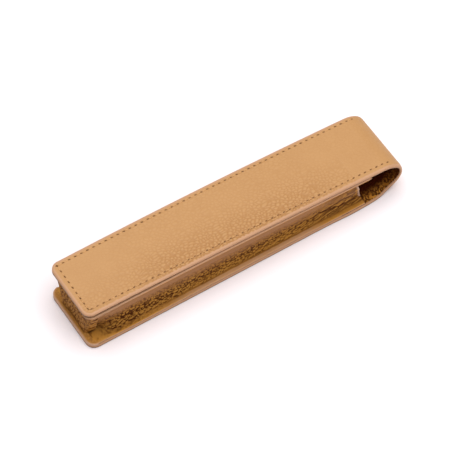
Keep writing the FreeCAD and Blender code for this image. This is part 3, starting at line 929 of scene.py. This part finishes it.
gussetFoot = strap["thickness"] + gusset["leather"]


def throughPoints(points, step, samples=40):  # an even, smooth line through the chosen points
    points = np.array(points, float)
    ends = np.concatenate(([2 * points[0] - points[1]], points, [2 * points[-1] - points[-2]]))
    t = np.linspace(0, 1, samples, endpoint=False)[:, None]
    fine = []
    for k in range(len(points) - 1):
        a, b, c, d = ends[k:k + 4]
        bend, twist = 2 * a - 5 * b + 4 * c - d, 3 * b - a - 3 * c + d
        fine.append(0.5 * (2 * b + (c - a) * t + bend * t ** 2 + twist * t ** 3))
    fine = np.concatenate(fine + [points[-1:]])
    run = lengthAlong(fine)
    even = evenSteps(0, run[-1], step)
    return np.stack([np.interp(even, run, fine[:, k]) for k in range(fine.shape[1])], 1)


def gussetSection():
    # end view of the outer face, from the rim's lower edge up to the front panel
    low, high, rim = strap["thickness"], gussetFoot, gusset["rimHalf"]
    top = gusset["topHalf"]
    waist = top - gusset["waist"]
    tall = gussetTop - gusset["band"] - high
    edge = [(rim - inwards, low + up) for inwards, up in gusset["rimPoints"]]
    edge.append((rim - gusset["edgeReach"], high))
    inShare, upShare = gusset["flareShares"]
    flare = [(rim - gusset["rimFlat"], high + gusset["rimRise"]),
             (rim - gusset["flareIn"] * inShare, high + gusset["flareUp"] * upShare),
             (rim - gusset["flareIn"], high + gusset["flareUp"])]
    wallLine = [(waist + out, high + tall * share) for out, share in gusset["wallPoints"]]
    band = [(top + out, gussetTop - gusset["band"] * share) for out, share in gusset["bandPoints"]]
    return throughPoints(edge + flare + wallLine + band, gusset["step"])


def sectionNormals(line):
    along = np.gradient(line, axis=0)
    along /= np.linalg.norm(along, axis=1)[:, None]
    return np.stack((along[:, 1], -along[:, 0]), 1)  # to the right of the way up, which is outwards


outerLine = gussetSection()
outerWay = sectionNormals(outerLine)
sectionRun = lengthAlong(outerLine)
wallPart = outerLine[sectionRun >= gusset["creaseAt"]]


def closedHalf(z):  # side wall's outer face at the closed end: drawn in at the foot, straight above it
    share = np.clip((z - gussetFoot) / (gussetTop - gussetFoot), 0, 1)
    return between(gusset["closedHalf"], gusset["topHalf"], share)


def tabReach(z):  # where the tab of the end wall stops, from the closed end
    reach = endGusset["tabX"] + endGusset["tabLean"] * np.clip(z - gussetFoot, 0, endGusset["tabTall"])
    noTab = endGusset["footX"] + endGusset["corner"] + endGusset["cornerClear"]
    return np.where(z > gussetFoot + endGusset["tabLift"], reach, noTab)


def gussetRing():
    # the section all round: outer face, head under the front panel, inner face, base
    low, headLow = strap["thickness"] + gusset["baseClear"], gussetTop - gusset["leather"]
    inner = (outerLine - outerWay * gusset["leather"])[::gusset["innerEach"]][::-1]
    inner = inner[(inner[:, 1] > low) & (inner[:, 1] < headLow)]
    headIn, headOut = gusset["topHalf"] - gusset["head"], gusset["topHalf"] - gusset["leather"]
    head = np.array([(headIn, gussetTop), (headIn, headLow), (headOut, headLow)])
    base = np.array([(gusset["rimHalf"] - gusset["rimFlat"], strap["thickness"])])
    return np.concatenate((outerLine, head, inner, base))


def gussetPull(ring):  # how far each point of the ring is drawn in at the closed end
    footHalf = wallPart[0, 0]
    onFoot = np.clip((gusset["rimHalf"] - ring[:, 0]) / (gusset["rimHalf"] - footHalf), 0, 1)
    onFoot = onFoot * (footHalf - gusset["closedHalf"])
    onWall = np.interp(ring[:, 1], wallPart[:, 1], wallPart[:, 0]) - closedHalf(ring[:, 1])
    return np.where(ring[:, 1] > wallPart[0, 1], onWall, onFoot)


def gussetForm(ring):
    # the ring run from the closed end to the slanted mouth, with each row's distance from the mouth
    foot, up = gussetFoot, ring[:, 1]
    share = (up - strap["thickness"]) / (gussetTop - strap["thickness"])
    mouth = gusset["mouthX"] - gusset["mouthSlant"] * share
    edge = quarterSteps(gusset["edgeReach"], gusset["edgeRows"])
    length = gusset["mouthX"] - gusset["startX"]
    toMouth = np.concatenate((evenSteps(length, edge[-1], gusset["step"]), edge[-2::-1]))
    along = (length - toMouth) / length
    x = gusset["startX"] + along[:, None] * (mouth - gusset["startX"])[None, :]
    lift = (underFlap(x, front["bottom"]) - foot) / (gussetTop - foot)
    z = np.where(up > foot, foot + (up - foot) * lift, up)
    rise = np.clip((up - foot) / (gussetTop - foot), 0, 1)
    out = np.clip((ring[:, 0] - (gusset["rimHalf"] - gusset["flareIn"])) / gusset["flareIn"], 0, 1)
    out = np.where(up > foot + gusset["flareUp"], 0, out)  # 1 at the rim's edge, 0 on the wall
    drawn = 1 - smooth(closedX + gusset["drawnFrom"], closedX + gusset["drawnTo"], x)
    atMouth = smooth(gusset["mouthX"] - gusset["outFrom"], gusset["mouthX"] - gusset["outTo"], x)
    follow = (frontHalf(flapLengthAt(x)) - gusset["topInset"] - gusset["topHalf"]) * rise
    y = ring[:, 0] + (follow - cornerDraw(x - closedX, strap["backCorner"]) * out - drawn * gussetPull(ring))
    y = y + gusset["mouthOut"] * atMouth * np.sin(math.pi * rise)
    return toMouth, x, y, z


# The side walls' surface, in millimetres: u along the sleeve, v up the section from the rim's lower edge

wall = {
    "mouthZone": (-34, -14), "endZone": (16, 62), "tabZone": (6.0, 8.5),
    "bandZone": (10.5, 18.5), "bandLower": 3.0, "bandFade": 0.75, "foldZone": (3.2, 6.0),
    "grainZone": (2.6, 3.4), "flareZone": (0.9, 1.6), "flareGrain": 0.1, "endGrain": 0.5,
    "wave": 0.3, "waveSize": (2.6, 1), "creaseWave": 0.5, "creaseWide": 0.38,
    "samples": 200, "slant": 0.08, "mouthLevel": 0.25,  # strokes climb a little towards the mouth
    "cellTall": 1.4, "tallerMid": 1.0, "midZone": (5, 8), "tallerHigh": 1.6, "highZone": (10, 14),
    "cellLong": 3.4, "longer": 6.0, "longZone": (15, 50),
    "drift": 0.4, "driftSize": (23, 9), "shift": 0.3, "shiftSize": (4, 2),
    "coarseShare": 0.4, "fineLong": 1.6, "fineTall": 1.4, "underLift": 0.2,
    "grainSize": (1.1, 0.45), "foldSize": (8.5, 2.2), "foldDrift": 1.2, "longFold": 9, "longFoldTall": 2.3,
    "fold": 0.2 * mm, "mouthFold": 0.8, "sag": 0.25 * mm, "sagSize": (31, 8),
    "bark": 0.5 * mm, "barkLevel": 0.6, "barkGrain": 0.2, "creaseDepth": 0.6, "endCreaseDepth": 0.35,
}
# painted shade on the side walls: stroke undersides, the low wall, folds, the foot crease, the patch beside
# the tab and the inner face
wallShade = {
    "under": 1.3, "grain": 0.25, "folds": 0.15, "mouth": 0.05, "ramp": (-0.45, 0.5),
    "low": 0.25, "lowZone": (4.0, 5.2), "high": 0.1, "highZone": (8, 11),
    "strokes": 0.9, "creases": 0.15, "creaseRamp": (0.5, 0.1), "mouthFold": 0.8, "mouthFoldRamp": (-0.3, 0.5),
    "least": 0.85, "more": 0.3, "moreZone": (4.5, 7.0),
    "mottle": 0.7, "mottleSize": (0.9, 0.55), "mottleLean": 5, "mottleRamp": (0.0, 0.7),
    "mottleFrom": (0.9, 1.5), "mottleTo": (3.0, 3.6), "foot": 0.65, "endFoot": 0.3,
    "besideTab": 0.6, "besideFrom": (6.8, 7.4), "besideTo": (8, 15), "besideUp": (3.2, 4.5),
    "streaks": 0.5, "streakSize": (6, 0.8), "streakLean": 25, "streakRamp": (0.0, 0.7),
    "streakFrom": (8, 11), "streakTo": (14, 17),
    "bandZone": (5.0, 17.0), "endBand": 2.0, "mouthBand": 0.6, "inner": 0.55,
}
wallPaint = {
    "mouthGap": 0.25 * mm, "bareFoot": 3 * mm, "bareZone": (4.0, 7.0),
    "wornAt": (0, 0.75, 2.5, 3.1), "wornGap": (0, 1.2, 1.3, 3.1),  # it thins out over the flare
    "thin": 0.8, "thinMouth": 0.8, "thinZone": (0.6, 1.2),
    "tabGap": 0.3 * mm, "tabWide": 0.4 * mm, "tabRise": (0.1 * mm, 0.6 * mm), "tabShade": 0.8,
    "creaseShade": 0.9, "creaseRamp": (0.3, 0.9), "creaseEnd": (6.6, 7.4),
}


def wallZones(u, v, seed):
    # 1 where each kind of surface lies, 0 elsewhere
    fromEnd, fromMouth = u - closedX / mm, u - gusset["mouthX"] / mm
    nearMouth = smooth(*wall["mouthZone"], fromMouth)
    nearEnd = 1 - smooth(*wall["endZone"], fromEnd)
    inBand = smooth(*wall["bandZone"], v - wall["bandLower"] * (nearMouth + nearEnd))
    inBand = inBand * (1 - wall["bandFade"] * nearMouth)
    clear = smooth(*wall["tabZone"], fromEnd)  # calm where the tab lies over the wall
    wave = ripple(u, v * 0, wall["waveSize"], seed + 7) * wall["wave"]
    onFlare = (wall["flareGrain"] + wall["endGrain"] * nearEnd) * smooth(*wall["flareZone"], v)
    fromCrease = v - gusset["creaseAt"] / mm + wave * wall["creaseWave"]
    return {
        "fromEnd": fromEnd, "nearMouth": nearMouth, "nearEnd": nearEnd, "inBand": inBand, "clear": clear,
        "folds": smooth(*wall["foldZone"], v) * (1 - inBand) * clear,
        "grain": (smooth(*wall["grainZone"], v + wave) + onFlare) * (1 - inBand) * clear,
        "crease": bell(fromCrease, wall["creaseWide"]),  # where the wall rises from its foot
    }


def wallCells(u, v):
    # cells counted along and up the wall: they grow taller up the wall and longer near the mouth
    heights = np.linspace(0, sectionRun[-1] / mm, wall["samples"])
    tall = wall["cellTall"] + wall["tallerMid"] * smooth(*wall["midZone"], heights)
    tall = tall + wall["tallerHigh"] * smooth(*wall["highZone"], heights)
    lengths = np.linspace(u.min(), u.max(), wall["samples"])
    cellLong = wall["cellLong"] + wall["longer"] * smooth(*wall["longZone"], lengths)
    along = np.interp(u, lengths, np.cumsum((lengths[1] - lengths[0]) / cellLong))
    return along, np.interp(v, heights, np.cumsum(heights[1] / tall))


def wallStrokes(u, v, zone, seed):
    along, climb = wallCells(u, v)
    drift = ripple(u, v, wall["driftSize"], seed + 1)
    shift = ripple(u, v, wall["shiftSize"], seed + 2) * wall["shift"]
    along = along + shift
    slant = climb * (1 - wall["mouthLevel"] * zone["nearMouth"]) - wall["slant"] * u + drift * wall["drift"]

    def strokes(lift):
        coarse = pebbles(along, slant + lift, seed + 3)
        fine = pebbles(along * wall["fineLong"], (slant + lift) * wall["fineTall"], seed + 8)
        return wall["coarseShare"] * coarse + (1 - wall["coarseShare"]) * fine

    return {
        "shift": shift, "crown": strokes(0),
        "under": strokes(wall["underLift"]) - strokes(-wall["underLift"]),  # above 0 on a stroke's underside
        "grain": ripple(u, slant, wall["grainSize"], seed + 4),
        "folds": ripple(u, v + drift * wall["foldDrift"], wall["foldSize"], seed + 5),
        "longFolds": softNoise(u / wall["longFold"] + shift, slant * wall["longFoldTall"], seed + 9),
    }


def wallRelief(u, v, zone, stroke, seed):  # how far the outer face stands out
    folds = stroke["folds"] - wall["mouthFold"] * zone["nearMouth"] * stroke["longFolds"]
    sag = ripple(u, v, wall["sagSize"], seed + 6)
    bark = stroke["crown"] - wall["barkLevel"] + stroke["grain"] * wall["barkGrain"]
    crease = (wall["creaseDepth"] - wall["endCreaseDepth"] * zone["nearEnd"]) * zone["crease"]
    soft = (wall["fold"] * folds + wall["sag"] * sag) * zone["folds"]
    return soft + wall["bark"] * (bark * zone["grain"] - crease)


def wallPaintedShade(u, v, zone, stroke, seed, contrast):  # painted shade: how dark each place of the outer face is
    look, nearMouth, nearEnd = wallShade, zone["nearMouth"], zone["nearEnd"]
    shade = look["under"] * stroke["under"] + look["grain"] * stroke["grain"]
    shade = shade + look["folds"] * stroke["folds"] + look["mouth"] * nearMouth
    shade = shade + look["low"] * smooth(*look["lowZone"], v)
    paintedShade = smooth(*look["ramp"], shade - look["high"] * smooth(*look["highZone"], v))
    paintedShade = look["strokes"] * paintedShade + look["creases"] * smooth(*look["creaseRamp"], stroke["crown"])
    longFolds = nearMouth * smooth(*look["mouthFoldRamp"], stroke["longFolds"]) * look["mouthFold"]
    paintedShade = np.maximum(paintedShade, longFolds)
    paintedShade = paintedShade * contrast * (look["least"] + look["more"] * smooth(*look["moreZone"], v)) * zone["grain"]
    long, tall = look["mottleSize"]
    mottle = softNoise(u / long, v / tall + u / look["mottleLean"], seed + 10) * nearEnd
    mottle = smooth(*look["mottleRamp"], mottle) * smooth(*look["mottleFrom"], v)
    mottle = mottle * (1 - smooth(*look["mottleTo"], v)) * look["mottle"]
    foot = zone["crease"] * (look["foot"] - look["endFoot"] * nearEnd)
    beside = smooth(*look["besideFrom"], zone["fromEnd"]) * (1 - smooth(*look["besideTo"], zone["fromEnd"]))
    beside = beside * smooth(*look["besideUp"], v) * (1 - zone["inBand"]) * look["besideTab"]
    long, tall = look["streakSize"]
    streaks = softNoise(u / long + stroke["shift"], v / tall - u / look["streakLean"], seed + 11)
    streaks = smooth(*look["streakRamp"], streaks) * smooth(*look["streakFrom"], v)
    streaks = look["streaks"] * streaks * (1 - smooth(*look["streakTo"], v)) * zone["clear"]
    return np.maximum.reduce((paintedShade, mottle, foot, beside, streaks))


def paintGaps(v, zone, toMouth, isOuter):  # distance from the painted edges: the mouth and, outside, the rim
    look = wallPaint
    bare = look["bareFoot"] * (1 - smooth(*look["bareZone"], v)) * isOuter
    mouthEdge = toMouth[:, None] + look["mouthGap"] + bare
    tall = sectionRun[-1] / mm
    worn = np.interp(v, (*look["wornAt"], tall), (*look["wornGap"], tall))
    thin = np.maximum(zone["nearEnd"], look["thinMouth"] * zone["nearMouth"]) * smooth(*look["thinZone"], v)
    rim = np.minimum((worn + look["thin"] * thin) * mm, mouthEdge)
    return np.where(isOuter, rim, mouthEdge)


def tabShadows(x, z, zone):  # shadow lines beside the end wall's tab and in the crease below it
    look = wallPaint
    beside = bell(x - closedX - tabReach(z) - look["tabGap"], look["tabWide"])
    beside = beside * smooth(*look["tabRise"], z - gussetFoot) * (1 - zone["inBand"])
    below = smooth(*look["creaseRamp"], zone["crease"]) * (1 - smooth(*look["creaseEnd"], zone["fromEnd"]))
    return np.maximum(below * look["creaseShade"], beside * look["tabShade"])


def buildSideGusset(name, node, side, seed, contrast):
    ring = gussetRing()
    spare = len(ring) - len(outerLine)
    isOuter = np.arange(len(ring)) < len(outerLine)
    way = np.concatenate((outerWay, np.zeros((spare, 2))))
    run = np.concatenate((sectionRun, np.full(spare, sectionRun[-1])))
    toMouth, x, y, z = gussetForm(ring)
    u, v = x / mm, np.broadcast_to(run, x.shape) / mm
    zone = wallZones(u, v, seed)
    stroke = wallStrokes(u, v, zone, seed)
    calm = between(gusset["calmMouth"], 1, smooth(*gusset["calmReach"], toMouth))[:, None]
    push = np.where(isOuter, wallRelief(u, v, zone, stroke, seed), 0) * calm
    push = push - edgeRound(toMouth, gusset["edgeReach"], gusset["edgeDrop"])[:, None]
    y = y + way[:, 0] * push
    z = z + way[:, 1] * push
    paintedShade = wallPaintedShade(u, v, zone, stroke, seed, contrast)
    band = smooth(*wallShade["bandZone"], v - wallShade["endBand"] * zone["nearEnd"])
    band = band * (1 - wallShade["mouthBand"] * zone["nearMouth"])
    # crease carries the wall's painted shade outside and an even painted shade on the inner face; the hole
    # mark carries the painted shadow lines by the tab
    marks = {
        "grain": np.stack((u, v, np.full(u.shape, seed)), -1),
        "edge": paintGaps(v, zone, toMouth, isOuter) / mm,
        "crease": np.where(isOuter, paintedShade, wallShade["inner"]),
        "hole": np.where(isOuter, tabShadows(x, z, zone), 0),
        "band": np.where(isOuter, band, 0),
    }
    piece = loftPiece(name, np.stack((x, y * side, z), -1), marks)
    dress(piece, brownLeather, node, "sleeve")


buildSideGusset("nearGusset", "near_gusset", side=-1, seed=51.0, contrast=1.0)
buildSideGusset("farGusset", "far_gusset", side=1, seed=71.0, contrast=0.7)
print("side gussets built")


# End gusset: wall at the closed end with a tab round each corner, and its turned-out foot

# painted shade and highlight on the end wall: undersides, valleys, fan wrinkles, the foot crease and the
# tab's lower edge darkened, crests tinted for their highlights
endShade = {  # in millimetres, along the wall and up it
    "footZone": (0.6, 1.8), "topZone": (-1.6, -0.2), "fanLean": 0.8, "fanSize": (1.1, 6),
    "cell": (1.9, 1.7), "cellDrift": 0.5, "driftSize": (3, 3),
    "fineLong": 1.9, "fineTall": 1.1, "coarseShare": 0.6,
    "wallWrinkle": 0.35, "tabPebbles": 0.4, "underLift": 0.2, "underRamp": (-0.1, 0.4), "under": 0.6,
    "crownRamp": (0.75, 0.25), "creases": 0.85, "tabCreases": 0.3, "fanRamp": (0.15, 0.5), "fan": 0.95,
    "crestRamp": (0.5, 0.9), "fanCrestRamp": (0.0, 0.6), "crest": 0.6,
    "footWide": 0.5, "tabEdge": 0.8, "tabEdgeWide": 0.3, "unpainted": 5.0,
}
endRim = {
    "long": 4.0 * mm, "step": 0.3 * mm, "pebble": 1.2 * mm, "pebbleDepth": 0.08 * mm, "edgeDrop": 0.4 * mm,
    "calmEdge": (0.5 * mm, 1.5 * mm), "creaseFrom": (-0.7 * mm, -0.1 * mm),
    "crease": 0.65, "pebbleCrease": 0.45, "bare": 0.75, "band": 0.2,
}
cornerFade = np.linspace(0, 1, endGusset["cornerSpots"])[1:-1]
onTab = np.concatenate((np.ones(endGusset["tabSpots"]), cornerFade[::-1], np.zeros(endGusset["wallSpots"]),
                        cornerFade, np.ones(endGusset["tabSpots"])))


def endWallPath(z, draw):
    # plan of the wall at one height, drawn in from its outer face: near tab, wall, far tab
    half = float(closedHalf(z)) + endGusset["leather"] - draw
    t = (z - strap["thickness"]) / (gussetTop - strap["thickness"])
    lean = between(endGusset["footX"], endGusset["topX"], t)
    waist = (endGusset["waistX"] - endGusset["topX"]) * t * (1 - t) * endGusset["waistShare"]
    x = closedX + lean + waist + draw
    radius = endGusset["corner"] - draw
    free = closedX + float(tabReach(z))
    tabSpots = [(px, -half) for px in np.linspace(free, x + radius, endGusset["tabSpots"])]
    turn = np.linspace(0, math.pi / 2, endGusset["cornerSpots"])[1:-1]
    tabSpots += [(x + radius * (1 - math.sin(a)), -half + radius * (1 - math.cos(a))) for a in turn]
    shares = np.linspace(-1, 1, endGusset["wallSpots"])
    wallSpots = [(x + endGusset["bow"] * math.cos(math.pi / 2 * k), k * (half - radius)) for k in shares]
    farSpots = [(px, -py) for px, py in tabSpots[::-1]]
    return np.array(tabSpots + wallSpots + farSpots)


def buildEndWall():
    look = endShade
    low, tabLow = strap["thickness"] + endGusset["footLift"], gussetFoot + endGusset["tabLift"]
    heights = np.concatenate((evenSteps(low, tabLow, endGusset["step"]),
                              evenSteps(tabLow + endGusset["tabRow"], gussetTop, endGusset["step"])))
    outer = np.array([endWallPath(z, 0.0) for z in heights])
    inner = np.array([endWallPath(z, endGusset["leather"]) for z in heights])
    away = (outer - inner) / np.linalg.norm(outer - inner, axis=-1)[..., None]
    run = np.array([lengthAlong(row) for row in outer])
    u, v = (run - run[:, -1:] / 2) / mm, np.broadcast_to(heights[:, None], run.shape) / mm
    zone = smooth(*look["footZone"], v - low / mm) * (1 - smooth(*look["topZone"], v - gussetTop / mm))
    fan = ripple(np.abs(u) * look["fanLean"] + v, np.abs(u) - v, look["fanSize"], 91)
    cellLong, cellTall = look["cell"]
    wallU = u / cellLong + ripple(u, v, look["driftSize"], 95) * look["cellDrift"]
    fine = pebbles(wallU * look["fineLong"], v / look["fineTall"], 96)
    crown = look["coarseShare"] * pebbles(wallU, v / cellTall, 93) + (1 - look["coarseShare"]) * fine
    wrinkles = endGusset["wrinkle"] * fan * between(look["wallWrinkle"], 1, onTab)
    pits = endGusset["pebbleDepth"] * (1 - crown) * between(1, look["tabPebbles"], onTab)
    outer = outer + away * ((wrinkles - pits) * zone)[..., None]
    plan = np.concatenate((outer, inner[:, ::-1]), 1)
    rings = np.concatenate((plan, np.broadcast_to(heights[:, None, None], plan.shape[:2] + (1,))), -1)
    lift = look["underLift"]
    under = pebbles(wallU, v / cellTall + lift, 93) - pebbles(wallU, v / cellTall - lift, 93)
    # crests take a less saturated tone, painted to stand for their highlights
    crest = smooth(*look["crestRamp"], crown) * zone * (1 - onTab)
    crest = crest + smooth(*look["fanCrestRamp"], fan) * zone * onTab
    # painted shade in the valleys, on the undersides and in the fan wrinkles
    valleyShade = look["creases"] * smooth(*look["crownRamp"], crown)
    valleyShade = valleyShade + look["under"] * smooth(*look["underRamp"], under)
    valleyShade = valleyShade * zone * between(1, look["tabCreases"], onTab)
    valleyShade = valleyShade + look["fan"] * smooth(*look["fanRamp"], -fan) * zone * onTab
    # painted shade in the crease at the foot and under the tab's lower edge
    foot = bell(v - gussetFoot / mm, look["footWide"]) * (1 - onTab)
    tabEdge = bell(v - tabLow / mm, look["tabEdgeWide"]) * onTab * look["tabEdge"]
    blank = np.zeros(u.shape)
    outerGrain, innerGrain = (np.stack((u, v, np.full(u.shape, side)), -1) for side in (9.0, 12.0))
    marks = {
        "grain": np.concatenate((outerGrain, innerGrain[:, ::-1]), 1),
        "edge": np.full(rings.shape[:2], look["unpainted"]), "hole": np.zeros(rings.shape[:2]),
        "crease": np.concatenate((np.maximum.reduce((valleyShade, foot, tabEdge)), blank), 1),
        "band": np.concatenate((crest * look["crest"], blank), 1),
    }
    dress(loftPiece("endGusset", rings, marks), brownLeather, "end_gusset", "sleeve")


def buildEndRim():
    edge = quarterSteps(gusset["edgeReach"], gusset["edgeRows"])
    s = np.concatenate((edge, evenSteps(gusset["edgeReach"], endRim["long"], endRim["step"])[1:]))
    y = acrossRows(outlineHalf(s), edgeColumns, innerColumns)
    rowS = np.broadcast_to(s[:, None], y.shape)
    gap = strapGap(rowS, y)
    crown = pebbles(rowS / endRim["pebble"], y / endRim["pebble"], 97)
    inside = smooth(*endRim["calmEdge"], gap)
    across = np.clip(y / gusset["closedHalf"], -1, 1)
    wallAt = endGusset["footX"] + endGusset["bow"] * np.cos(across * math.pi / 2)
    # painted shade in the crease at the end wall's foot, and in the pebble valleys
    crease = smooth(*endRim["creaseFrom"], rowS - wallAt) * (np.abs(y) < gusset["closedHalf"])
    depth = gussetFoot - edgeRound(gap, gusset["edgeReach"], endRim["edgeDrop"])
    depth = depth - endRim["pebbleDepth"] * (1 - crown) * inside
    creases = np.maximum((1 - crown) * inside * endRim["pebbleCrease"], crease * endRim["crease"])
    marks = {"edge": gap / mm + endRim["bare"], "crease": creases, "hole": np.zeros(y.shape),
             "band": np.full(y.shape, endRim["band"])}
    piece = layerPiece("endRim", s, y, depth, marks, s, strap["thickness"])
    dress(piece, brownLeather, body="sleeve")


buildEndWall()
buildEndRim()
print("end gusset built")


# Pieces sealed between the layers keep their solids

def dressInside():
    board, steel = boardFinish(), steelFinish()
    for node, finish in (("back_board", board), ("flap_board", board), ("front_board", board),
                         ("flap_magnet", steel), ("front_keeper", steel)):
        slots = frame["nodes"][node].data.materials
        slots.clear()
        slots.append(finish)
    print("inside pieces dressed")


dressInside()


# Floor, light and camera

studio = {
    "azimuth": -32.39, "elevation": 55.03, "target": (-0.96 * mm, 1.663 * mm, 10.128 * mm), "distance": 1.2,
    "lens": 215.6, "clipStart": 0.01, "worldLight": 0.41, "worldColour": (1, 0.985, 0.97, 1),
    "floorHalf": 3.0, "floorZ": -0.03 * mm,
    "lights": {"overhead": {"place": (0.06, 0.06, 1.2), "size": (1.6, 1.3), "power": 19.6},
               "frontFill": {"place": (0.3, -1.2, 0.9), "size": (0.9, 0.6), "power": 4}},
}


def buildFloor():
    half, z = studio["floorHalf"], studio["floorZ"]
    corners = [(-half, -half, z), (half, -half, z), (half, half, z), (-half, half, z)]
    mesh = bpy.data.meshes.new("floor")
    mesh.from_pydata(corners, [], [(0, 1, 2, 3)])
    floor = bpy.data.objects.new("floor", mesh)
    bpy.context.scene.collection.objects.link(floor)
    mesh.materials.append(floorFinish())


def softLight(name, look):  # a rectangle of light, turned towards the sleeve
    lamp = bpy.data.lights.new(name, "AREA")
    lamp.shape = "RECTANGLE"
    lamp.size, lamp.size_y = look["size"]
    lamp.energy = look["power"]
    holder = bpy.data.objects.new(name, lamp)
    holder.location = look["place"]
    holder.rotation_euler = Vector(look["place"]).to_track_quat("Z", "Y").to_euler()
    bpy.context.scene.collection.objects.link(holder)


def buildStudio():
    buildFloor()
    for name, look in studio["lights"].items():
        softLight(name, look)
    world = bpy.data.worlds.new("studio")
    world.use_nodes = True
    shade = world.node_tree.nodes["Background"]
    shade.inputs["Color"].default_value = studio["worldColour"]
    shade.inputs["Strength"].default_value = studio["worldLight"]
    bpy.context.scene.world = world
    bpy.context.scene.view_settings.view_transform = "Standard"


def buildCamera():
    turn, tilt = math.radians(studio["azimuth"]), math.radians(studio["elevation"])
    back = Vector((math.sin(turn) * math.cos(tilt), -math.cos(turn) * math.cos(tilt), math.sin(tilt)))
    right = Vector((math.cos(turn), math.sin(turn), 0))
    up = back.cross(right)
    eye = Vector(studio["target"]) + back * studio["distance"]
    lens = bpy.data.cameras.new("camera")
    lens.lens = studio["lens"]
    lens.clip_start = studio["clipStart"]
    camera = bpy.data.objects.new("camera", lens)
    camera.matrix_world = Matrix.Translation(eye) @ Matrix((right, up, back)).transposed().to_4x4()
    bpy.context.scene.collection.objects.link(camera)
    bpy.context.scene.camera = camera


buildStudio()
buildCamera()
print("studio ready")
